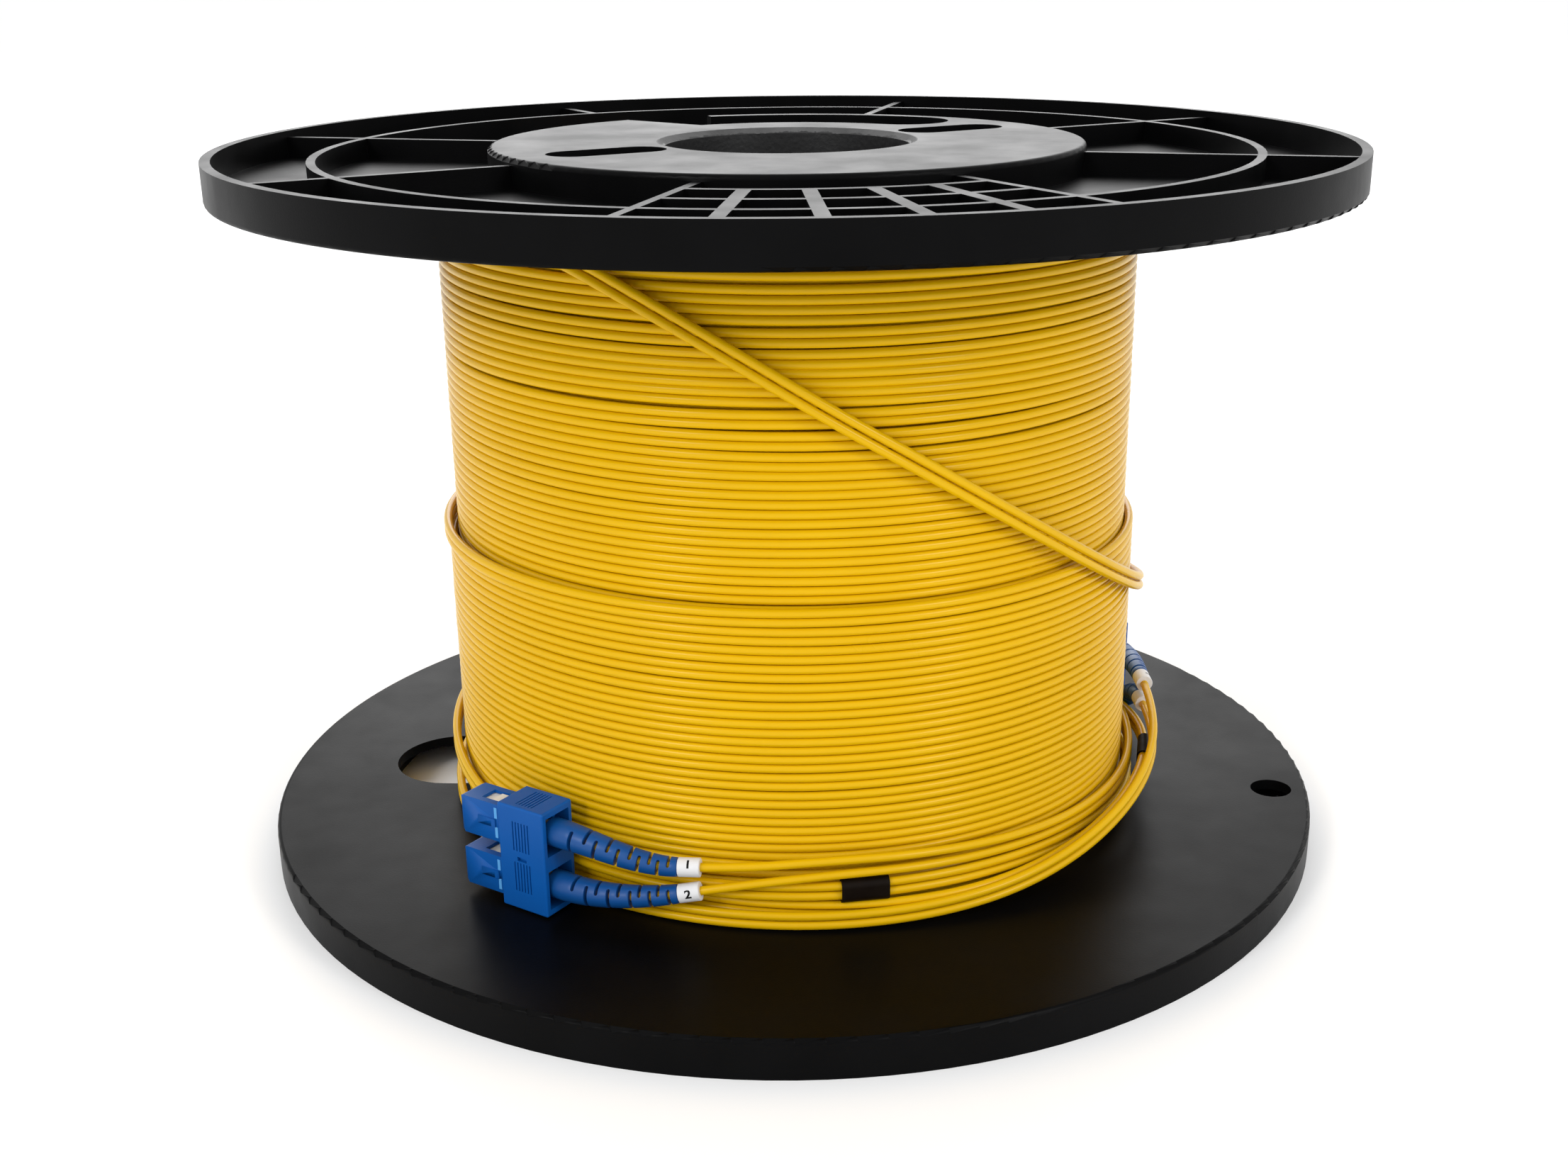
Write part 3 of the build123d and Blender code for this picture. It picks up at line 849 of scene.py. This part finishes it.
@dataclass
class WoundLayer:
    """One layer of the winding: a pair of strands in a close helix from top to bottom."""

    name: str
    radius: float
    top: float
    bottom: float
    first_angle: float
    entry_radius: float
    bulge: float = 0.0
    seed: int = 1
    slacks: tuple[Slack, ...] = ()
    pair_pitch: float = 4.13 * MM
    half_gap: float = 1.01 * MM
    diameter: float = 2.0 * MM
    points_per_turn: int = 16
    entry_points: int = 3
    steps: int = 8
    wander: float = 0.10 * MM
    jitter: float = 0.04 * MM
    reach: float = 9.0 * MM
    slack_step: float = 1.0 * MM
    bulge_spread: float = 3.0
    wave_rates: tuple[float, float] = (310.0, -190.0)

    def height_at(self, angle: float, height: float, phases: list[float]) -> float:
        """Height of the pair's middle once its wander and the slack places are counted.

        Args:
            angle: degrees round the axis.
            height: height of the even helix.
            phases: the layer's own phase angles.

        Returns:
            The height in metres.
        """
        turn = math.radians(angle)
        wave = sum(
            math.sin(lobes * turn + phase + rate * height)
            for lobes, phase, rate in zip((2, 3), phases, self.wave_rates)
        )
        moved = height + 0.5 * self.wander * wave
        for slack in self.slacks:
            away = (angle - slack.angle + 180.0) % 360.0 - 180.0
            side = math.tanh((height - slack.height) / self.slack_step)
            fade = math.exp(-abs(height - slack.height) / self.reach)
            moved += 0.5 * slack.opening * side * fade * math.exp(-((away / slack.spread) ** 2))
        return moved

    def points(self, strand: Strand) -> list[Vector]:
        """Control points of one strand's line.

        Args:
            strand: which strand of the pair.

        Returns:
            The points in metres, from the top down.
        """
        dice = random.Random(self.seed)
        phases = [dice.uniform(0, math.tau) for _ in range(2)]
        step = 360.0 / self.points_per_turn
        inward = math.cos(math.radians(step / 2))
        count = round((self.top - self.bottom) / self.pair_pitch * self.points_per_turn)
        line = []
        for index in range(count + 1):
            angle = self.first_angle + index * step
            height = self.top - index / self.points_per_turn * self.pair_pitch
            entering = min(1.0, index / self.entry_points)
            radius = self.entry_radius + entering * (self.radius - self.entry_radius)
            away = index - self.entry_points - 1
            radius += self.bulge * math.exp(-(away**2) / self.bulge_spread)
            radius += dice.uniform(-self.jitter, self.jitter)
            moved = self.height_at(angle, height, phases)
            moved = min(max(moved, self.bottom), self.top + 0.5 * self.pair_pitch)
            line.append(polar(radius / inward, angle, moved + strand.value * self.half_gap))
        return line

    def build(self) -> list[bpy.types.Object]:
        """Model both strands of the layer and return them."""
        return [
            strand_curve(
                f"{self.name}_{strand.number}", self.points(strand), self.diameter, self.steps
            )
            for strand in Strand
        ]

    def dress(self, strands: list[bpy.types.Object]) -> None:
        """Give both strands the jacket's finish and let them stand for the outer layers."""
        for piece in strands:
            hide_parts("outer_layers")
            finish_piece(piece, "spool", JACKET.material())


@dataclass
class Winding:
    """The whole winding: a core of older turns and the three layers that show."""

    top: float = 157.25 * MM
    bottom: float = 9.35 * MM
    end_gap: float = 2.05 * MM
    deep_radius: float = 78.05 * MM
    deep_bottom: float = 82.0 * MM
    middle_radius: float = 80.08 * MM
    outer_radius: float = 82.25 * MM
    outer_entry: float = 80.3 * MM
    outer_top: float = 80.8 * MM
    outer_bulge: float = 1.3 * MM
    core_radius: float = 77.0 * MM
    core_inside: float = 62.4 * MM
    turn: float = 2.06 * MM
    core_steps: int = 72
    slacks: tuple[Slack, ...] = (
        Slack(0.1462, -96.0, 42.0, 1.0 * MM),
        Slack(0.1400, -84.0, 60.0, 0.8 * MM),
        Slack(0.1352, -100.0, 70.0, 0.5 * MM),
        Slack(0.1225, -108.0, 40.0, 0.9 * MM),
        Slack(0.1180, -80.0, 30.0, 0.7 * MM),
        Slack(0.1130, -62.0, 46.0, 0.5 * MM),
    )

    def layers(self) -> list[WoundLayer]:
        """The three layers that show, from the inside out."""
        highest = self.top - self.end_gap
        lowest = self.bottom + self.end_gap
        return [
            WoundLayer(
                "deep_turns", self.deep_radius, highest, self.deep_bottom,
                first_angle=40.0, entry_radius=self.deep_radius, seed=3, steps=4,
            ),
            WoundLayer(
                "middle_turns", self.middle_radius, highest, lowest,
                first_angle=100.0, entry_radius=self.middle_radius, seed=5, slacks=self.slacks,
            ),
            WoundLayer(
                "outer_turns", self.outer_radius, self.outer_top, lowest,
                first_angle=114.0, entry_radius=self.outer_entry, bulge=self.outer_bulge, seed=9,
            ),
        ]

    def build_core(self) -> bpy.types.Object:
        """Model the older turns as one closed ring with a scalloped skin.

        Returns:
            The ring.
        """
        start_fresh()
        half = self.turn / 2
        near = 0.01 * MM
        bpy.ops.mesh.primitive_circle_add(
            vertices=12, radius=half, location=(0, 0, 0), rotation=(math.radians(90), 0, 0)
        )
        core = bpy.context.object
        core.name = "older_turns"
        settle(core)
        edit_all(core)
        bpy.ops.mesh.bisect(plane_co=(0, 0, 0), plane_no=(1, 0, 0), clear_inner=True)
        bpy.ops.mesh.select_all(action="SELECT")
        bpy.ops.transform.translate(value=(self.core_radius - half, 0, self.bottom + half))
        leave_edit()
        rows = core.modifiers.new("rows", "ARRAY")
        count = int((self.top - self.bottom) / self.turn)
        rows.count = count
        rows.use_relative_offset = False
        rows.use_constant_offset = True
        rows.constant_offset_displace = (0, 0, self.turn)
        rows.use_merge_vertices = True
        rows.merge_threshold = near
        apply_modifiers(core)
        bpy.ops.object.mode_set(mode="EDIT")
        for end in (self.bottom, self.bottom + count * self.turn):
            select_points(core, lambda place, end=end: abs(place.z - end) < near)
            bpy.ops.mesh.extrude_region_move(
                TRANSFORM_OT_translate={"value": (self.core_inside - self.core_radius + half, 0, 0)}
            )
        select_points(core, lambda place: place.x < self.core_inside + near)
        bpy.ops.mesh.edge_face_add()
        leave_edit()
        spun = core.modifiers.new("round", "SCREW")
        spun.steps = self.core_steps
        spun.render_steps = self.core_steps
        spun.use_merge_vertices = True
        spun.merge_threshold = near
        apply_modifiers(core)
        edit_all(core)
        bpy.ops.mesh.remove_doubles(threshold=near)
        bpy.ops.mesh.normals_make_consistent(inside=False)
        leave_edit()
        smooth_below(core, 50)
        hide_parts("inner_layers")
        return core

    def build(self) -> None:
        """Model and dress the core and the layers."""
        finish_piece(self.build_core(), "spool", JACKET.material())
        for layer in self.layers():
            layer.dress(layer.build())


# Spool


@dataclass
class Spool:
    """The spool's two flange mouldings; its barrel and arbor tube stay as CAD nodes."""

    edge: float = 0.30 * MM

    def build(self) -> list[bpy.types.Object]:
        """Model both flanges with rounded edges and return them."""
        return [
            rounded_copy(f"{side}_flange", f"{side}_flange_moulding", self.edge)
            for side in ("upper", "lower")
        ]

    def dress(self, flanges: list[bpy.types.Object]) -> None:
        """Give the flanges their finish."""
        for flange in flanges:
            finish_piece(flange, "spool", FLANGE.material())


# Duplex plugs


@dataclass
class DuplexPlug:
    """One duplex plug: its two outer housings, boots, marker sleeves and digits; its clip stays as
    the CAD node.
    """

    side: str
    radius: float
    angle: float
    turn: float
    pair: FreePair
    height: float = 21.8 * MM
    pitch: float = 12.7 * MM
    boot_bite: float = 0.3 * MM
    boot_front: float = 1.8 * MM
    boot_head_end: float = -2.0 * MM
    boot_head_radius: float = 3.2 * MM
    boot_tail_radius: float = 2.1 * MM
    boot_sides: int = 32
    boot_rings: int = 30
    slot_shares: tuple[float, ...] = (
        0.175, 0.285, 0.367, 0.46, 0.54, 0.632, 0.703, 0.783, 0.85, 0.93
    )
    slot_width: float = 0.8 * MM
    slot_past: float = 0.32
    slot_rounding: float = 0.45
    boot_roll: float = math.radians(38.0)
    sleeve_radius: float = 2.1 * MM
    sleeve_length: float = 4.8 * MM
    digit_height: float = 2.1 * MM
    digit_share: float = 0.7
    digit_weight: float = 0.09 * MM
    digit_rise: float = 0.03 * MM
    digit_lift: tuple[float, float] = (43.0, 10.0)
    housing_half_depth: float = 3.7 * MM
    mark_size: tuple[float, float, float] = (0.8 * MM, 2.6 * MM, 0.12 * MM)
    mark_place: tuple[float, float] = (14.6 * MM, 2.35 * MM)
    notch_size: tuple[float, float, float] = (1.1 * MM, 2.0 * MM, 1.1 * MM)
    notch_place: float = 15.15 * MM
    spring_rear: float = 10.0 * MM
    spring_length: float = 3.5 * MM
    ferrule_travel: float = 0.8 * MM

    @property
    def nose(self) -> Vector:
        """Level direction that the plug points in."""
        return polar(1.0, self.angle + self.turn)

    @property
    def body(self) -> str:
        """The CAD body of the clip and its housings."""
        return f"{self.side}_grip"

    def axis_point(self, strand: Strand, distance: float) -> Vector:
        """Point on one plug's axis at a distance in front of the clip's rear face."""
        rear = polar(self.radius, self.angle, self.height + strand.value * self.pitch / 2)
        return rear + self.nose * distance

    def strand_start(self, strand: Strand) -> tuple[Vector, Vector]:
        """Where a strand leaves its boot, and the direction that it leaves in."""
        first, second = self.pair.points(strand)[:2]
        return first, (second - first).normalized()

    def side_face(self) -> Matrix:
        """Turn of a block whose X is along the nose, Y upright and Z across the key's side."""
        across = Vector((0, 0, 1)).cross(self.nose)
        return Matrix((self.nose, Vector((0, 0, 1)), across)).transposed().to_4x4()

    def build_housing(self, strand: Strand) -> None:
        """Model a housing with the notch behind its key and its two marks.

        Args:
            strand: the strand whose plug the housing is on.
        """
        number = strand.number
        face = self.side_face()
        across = face.col[2].to_3d()
        outward = across * self.housing_half_depth
        key = self.axis_point(strand, self.notch_place) + outward
        node = f"{self.side}_housing_{number}"
        housing = merged_copy(node, f"{node}_shell")
        cut_away(housing, block("notch", key, Vector(self.notch_size), face))
        smooth_below(housing, 30)
        finish_piece(housing, self.body, PLUG_BLUE.material())
        along, rise = self.mark_place
        for label, level in (("upper", rise), ("lower", -rise)):
            place = self.axis_point(strand, along) + outward + Vector((0, 0, level))
            mark = block(f"{self.side}_mark_{number}_{label}", place, Vector(self.mark_size), face)
            round_edges(mark, 0.03 * MM)
            finish_piece(mark, self.body, MARK_BLUE.material())

    def build_spring(self, strand: Strand) -> None:
        """Copy a ferrule's spring.

        Args:
            strand: the strand whose plug the spring is in.
        """
        number = strand.number
        node = f"{self.side}_ferrule_spring_{number}"
        spring = merged_copy(node, f"{node}_coil")
        smooth_below(spring, 40)
        finish_piece(spring, "spool", STEEL.material())
        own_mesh(spring)

    def bend_line(self, strand: Strand) -> bpy.types.Object:
        """Line that a boot follows, from the front of its head to its tail.

        Args:
            strand: the strand that the boot is on.

        Returns:
            The line, a Bezier curve.
        """
        front = self.axis_point(strand, self.boot_front)
        head_end = self.axis_point(strand, self.boot_head_end)
        end, way = self.strand_start(strand)
        reach = (end - head_end).length / 3
        curve = bpy.data.curves.new("bend", "CURVE")
        curve.dimensions = "3D"
        curve.resolution_u = 24
        curve.twist_mode = "Z_UP"
        spline = curve.splines.new("BEZIER")
        spline.bezier_points.add(2)
        places = (front, head_end, end)
        before = (front + self.nose * MM, head_end + self.nose * MM, end - way * reach)
        after = (front - self.nose * MM, head_end - self.nose * reach, end + way * MM)
        for knot, place, left, right in zip(spline.bezier_points, places, before, after):
            knot.co = place
            knot.handle_left = left
            knot.handle_right = right
        line = bpy.data.objects.new("bend", curve)
        bpy.context.scene.collection.objects.link(line)
        return line

    def tail_radius(self, share: float) -> float:
        """Radius of a boot behind its head, share 0 at its head and 1 at its end."""
        return self.boot_head_radius + share * (self.boot_tail_radius - self.boot_head_radius)

    def build_slots(self, strand: Strand, length: float) -> bpy.types.Object:
        """Model the bars that cut a boot's slots, from below and from above in turn.

        Args:
            strand: the strand that the boot is on.
            length: the boot's length in metres.

        Returns:
            One object with every bar.
        """
        reach = 2 * self.boot_head_radius
        shown = length - self.boot_front
        bars = []
        for index, share in enumerate(self.slot_shares):
            side = strand.value * (1 if index % 2 else -1)
            past = self.slot_past * self.tail_radius(share)
            middle = Vector((self.boot_front + share * shown, 0, side * (reach - past) / 2))
            size = Vector((self.slot_width, 2 * reach, reach + past))
            bar = block("slot", middle, size, Matrix.Identity(4))
            bpy.ops.object.mode_set(mode="EDIT")
            select_points(bar, lambda place, side=side: side * place.z < 0)
            bpy.ops.mesh.select_mode(type="EDGE")
            bpy.ops.object.mode_set(mode="OBJECT")
            for edge in bar.data.edges:
                ends = [bar.data.vertices[corner].co for corner in edge.vertices]
                across = abs(ends[0].y - ends[1].y) > reach
                edge.select = all(side * end.z < 0 for end in ends) and across
            bpy.ops.object.mode_set(mode="EDIT")
            bpy.ops.mesh.bevel(
                offset=self.slot_rounding * self.slot_width, segments=4, affect="EDGES"
            )
            bpy.ops.object.mode_set(mode="OBJECT")
            bars.append(bar)
        start_fresh()
        for bar in bars:
            bar.select_set(True)
        bpy.context.view_layer.objects.active = bars[0]
        bpy.ops.object.join()
        bars[0].matrix_world = Matrix.Rotation(math.copysign(self.boot_roll, self.turn), 4, "X")
        settle(bars[0])
        return bars[0]

    def bend_along(self, piece: bpy.types.Object, line: bpy.types.Object) -> None:
        """Bend a straight piece along a line.

        Args:
            piece: the piece, which lies along X.
            line: the curve that it then follows.
        """
        bend = piece.modifiers.new("bend", "CURVE")
        bend.object = line
        bend.deform_axis = "POS_X"
        apply_modifiers(piece)
        smooth_below(piece, 35)

    def build_boot(self, strand: Strand) -> list[bpy.types.Object]:
        """Model a boot, a plain head and a tapered tail with deep slots, and the strand inside it.

        Args:
            strand: the strand that the boot is on.

        Returns:
            The boot and the strand inside it, bent along the same line.
        """
        line = self.bend_line(strand)
        length = line.data.splines[0].calc_length()
        head = self.boot_front - self.boot_head_end
        bite = self.boot_bite
        shares = [index / self.boot_rings for index in range(self.boot_rings)]
        stations = [(0.0, self.boot_head_radius - bite), (bite, self.boot_head_radius)]
        stations += [(head + share * (length - head), self.tail_radius(share)) for share in shares]
        stations += [(length - bite, self.boot_tail_radius), (length, self.boot_tail_radius - bite)]
        name = f"{self.side}_boot_{strand.number}_moulding"
        boot = turned_rod(name, sorted(stations), self.boot_sides)
        cut_away(boot, self.build_slots(strand, length))
        edges = boot.modifiers.new("edges", "BEVEL")
        edges.width = 0.08 * MM
        edges.segments = 2
        edges.limit_method = "ANGLE"
        edges.angle_limit = math.radians(40)
        self.bend_along(boot, line)
        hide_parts(f"{self.side}_boot_{strand.number}")
        finish_piece(boot, "spool", BOOT_BLUE.material())
        inner = [(head + share * (length - head), self.pair.diameter / 2) for share in shares]
        core = turned_rod(f"{self.side}_boot_strand_{strand.number}", inner, 16)
        self.bend_along(core, line)
        finish_piece(core, "spool", JACKET.material())
        bpy.data.objects.remove(line)
        return [boot, core]

    def build_sleeve(self, strand: Strand) -> bpy.types.Object:
        """Model the marker sleeve behind a boot.

        Args:
            strand: the strand that the sleeve is on.

        Returns:
            The sleeve.
        """
        start, way = self.strand_start(strand)
        bite = 0.12 * MM
        narrow = self.sleeve_radius - bite
        stations = [
            (0.0, narrow), (bite, self.sleeve_radius),
            (self.sleeve_length - bite, self.sleeve_radius), (self.sleeve_length, narrow),
        ]
        sleeve = turned_rod(f"{self.side}_number_sleeve_{strand.number}_tube", stations, 48)
        turned = way.to_track_quat("X", "Z").to_matrix().to_4x4()
        sleeve.matrix_world = Matrix.Translation(start) @ turned
        settle(sleeve)
        smooth_below(sleeve, 35)
        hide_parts(f"{self.side}_number_sleeve_{strand.number}")
        finish_piece(sleeve, "spool", SLEEVE_WHITE.material())
        return sleeve

    def build_digit(self, strand: Strand, sleeve: bpy.types.Object) -> bpy.types.Object:
        """Model the plain digit on a marker sleeve, wrapped round it.

        Args:
            strand: the strand that the digit numbers.
            sleeve: the marker sleeve.

        Returns:
            The digit.
        """
        start, way = self.strand_start(strand)
        middle = start + way * self.sleeve_length / 2
        outward = Vector((middle.x, middle.y, 0)).normalized()
        outward = (outward - way * outward.dot(way)).normalized()
        upward = Vector((0, 0, 1)) - way * way.z
        upward = (upward - outward * outward.dot(upward)).normalized()
        lift = math.radians(self.digit_lift[strand.number - 1])
        outward = outward * math.cos(lift) + upward * math.sin(lift)
        reading = way if self.turn < 0 else -way
        up = outward.cross(reading)
        start_fresh()
        bpy.ops.object.text_add()
        digit = bpy.context.object
        digit.name = f"{self.side}_digit_{strand.number}"
        digit.data.body = str(strand.number)
        digit.data.size = self.digit_height / self.digit_share
        digit.data.align_x = "CENTER"
        digit.data.align_y = "CENTER"
        digit.data.offset = self.digit_weight
        bpy.ops.object.convert(target="MESH")
        turned = Matrix((reading, up, outward)).transposed().to_4x4()
        place = middle + outward * (self.sleeve_radius + 0.2 * MM)
        digit.matrix_world = Matrix.Translation(place) @ turned
        settle(digit)
        edit_all(digit)
        bpy.ops.mesh.remove_doubles(threshold=0.01 * MM)
        bpy.ops.mesh.quads_convert_to_tris()
        bpy.ops.mesh.subdivide(number_cuts=3)
        leave_edit()
        wrap = digit.modifiers.new("wrap", "SHRINKWRAP")
        wrap.target = sleeve
        wrap.wrap_method = "NEAREST_SURFACEPOINT"
        wrap.wrap_mode = "ABOVE_SURFACE"
        wrap.offset = self.digit_rise
        apply_modifiers(digit)
        finish_piece(digit, "spool", DIGIT_BLACK.material())
        return digit

    def build(self, strands: dict[Strand, bpy.types.Object]) -> None:
        """Args:
            strands: the curve object of each strand.
        """
        for strand, cord in strands.items():
            number = strand.number
            self.build_housing(strand)
            self.build_spring(strand)
            sleeve = self.build_sleeve(strand)
            held = [*self.build_boot(strand), sleeve, self.build_digit(strand, sleeve),
                    f"{self.side}_housing_{number}_shell", f"{self.side}_plug_frame_{number}",
                    f"{self.side}_ferrule_{number}"]
            self.pair.points(strand)[-1]


# Reel and studio


def dress_frame() -> None:
    """Give every CAD node the finish of its material slot."""
    slots = {part["node"]: part["material_slot"] for part in frame["record"]["subparts"]}
    for name, node in frame["nodes"].items():
        node.data.materials.clear()
        node.data.materials.append(SLOT_FINISH[slots[name]].material())
    LOG.info("dressed %d CAD nodes", len(frame["nodes"]))


@dataclass
class Reel:
    """The whole object, from the spool out to the plugs."""

    front_length: float = 0.833
    back_length: float = 0.728
    crossing_length: float = 0.279

    def build(self) -> None:
        """Build every sub-assembly in order."""
        dress_frame()
        spool = Spool()
        spool.dress(spool.build())
        Winding().build()
        front = FreePair("front_leg", FRONT_ROUTE, self.front_length)
        back = FreePair("back_leg", BACK_ROUTE, self.back_length)
        crossing = FreePair("crossing_strand", CROSSING_ROUTE, self.crossing_length)
        for plug in (
            DuplexPlug("front", 92.7 * MM, -123.7, -90.0, front),
            DuplexPlug("back", 92.7 * MM, 20.2, 90.0, back),
        ):
            strands = plug.pair.build()
            plug.pair.dress(strands)
            plug.build(strands)
        strands = crossing.build()
        crossing.dress(strands)
        for strand, piece in strands.items():
            crossing.points(strand)[0]


@dataclass
class Studio:
    """Pale floor, soft lights and the camera."""

    floor_size: float = 60.0
    floor_tone: float = 0.97
    sky_strength: float = 1.04
    camera_place: tuple[float, float, float] = (0.000294, -0.439126, 0.209546)
    pitch_down: float = 20.194
    yaw: float = -0.403
    roll: float = -0.497
    lens: float = 42.476
    shift: tuple[float, float] = (-0.01406, 0.02129)
    sensor: float = 36.0
    aim_height: float = 0.08
    lights: tuple[tuple[str, Colour, float, float], ...] = (
        ("key", (-0.75, -0.95, 0.75), 0.32, 5.0),
        ("fill", (0.95, -0.85, 0.65), 0.32, 4.0),
        ("back", (0.0, 3.0, 1.5), 2.4, 40.0),
    )

    def build_floor(self) -> None:
        """Model the floor that the reel stands on."""
        start_fresh()
        bpy.ops.mesh.primitive_plane_add(size=self.floor_size)
        floor = bpy.context.object
        floor.name = "floor"
        tone = self.floor_tone
        paper = Finish(
            "floor_paper", (tone, tone, tone), (0.99 * tone,) * 3, matt=0.85, gloss=0.75,
            grain_scale=300.0, grain_depth=0.02 * MM, mottle_scale=6.0,
        )
        floor.data.materials.append(paper.material())

    def add_light(self, name: str, place: Colour, size: float, power: float) -> None:
        """Add a square soft light that faces the middle of the reel.

        Args:
            name: the light's name.
            place: where it stands, in metres.
            size: its side in metres.
            power: its power in watts.
        """
        light = bpy.data.lights.new(name, "AREA")
        light.shape = "SQUARE"
        light.size = size
        light.energy = power
        lamp = bpy.data.objects.new(name, light)
        lamp.location = place
        aim = Vector((0, 0, self.aim_height)) - Vector(place)
        lamp.rotation_euler = aim.to_track_quat("-Z", "Y").to_euler()
        bpy.context.scene.collection.objects.link(lamp)

    def build(self) -> None:
        """Set up the floor, the sky, the lights and the camera."""
        self.build_floor()
        world = bpy.data.worlds.new("studio")
        world.use_nodes = True
        sky = world.node_tree.nodes["Background"]
        sky.inputs["Color"].default_value = (1.0, 1.0, 1.0, 1.0)
        sky.inputs["Strength"].default_value = self.sky_strength
        bpy.context.scene.world = world
        bpy.context.scene.view_settings.view_transform = "Standard"
        for light in self.lights:
            self.add_light(*light)
        camera = bpy.data.cameras.new("camera")
        camera.lens = self.lens
        camera.sensor_width = self.sensor
        camera.shift_x, camera.shift_y = self.shift
        eye = bpy.data.objects.new("camera", camera)
        face = Matrix.Rotation(math.radians(self.yaw), 4, "Z")
        look = Matrix.Rotation(math.radians(90.0 - self.pitch_down), 4, "X")
        tilt = Matrix.Rotation(math.radians(self.roll), 4, "Z")
        eye.matrix_world = Matrix.Translation(self.camera_place) @ face @ look @ tilt
        bpy.context.scene.collection.objects.link(eye)
        bpy.context.scene.camera = eye


def main() -> None:
    """Build the reel and its studio."""
    logging.basicConfig(level=logging.INFO)
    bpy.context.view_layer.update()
    Reel().build()
    Studio().build()


if __name__ == "__main__":
    main()
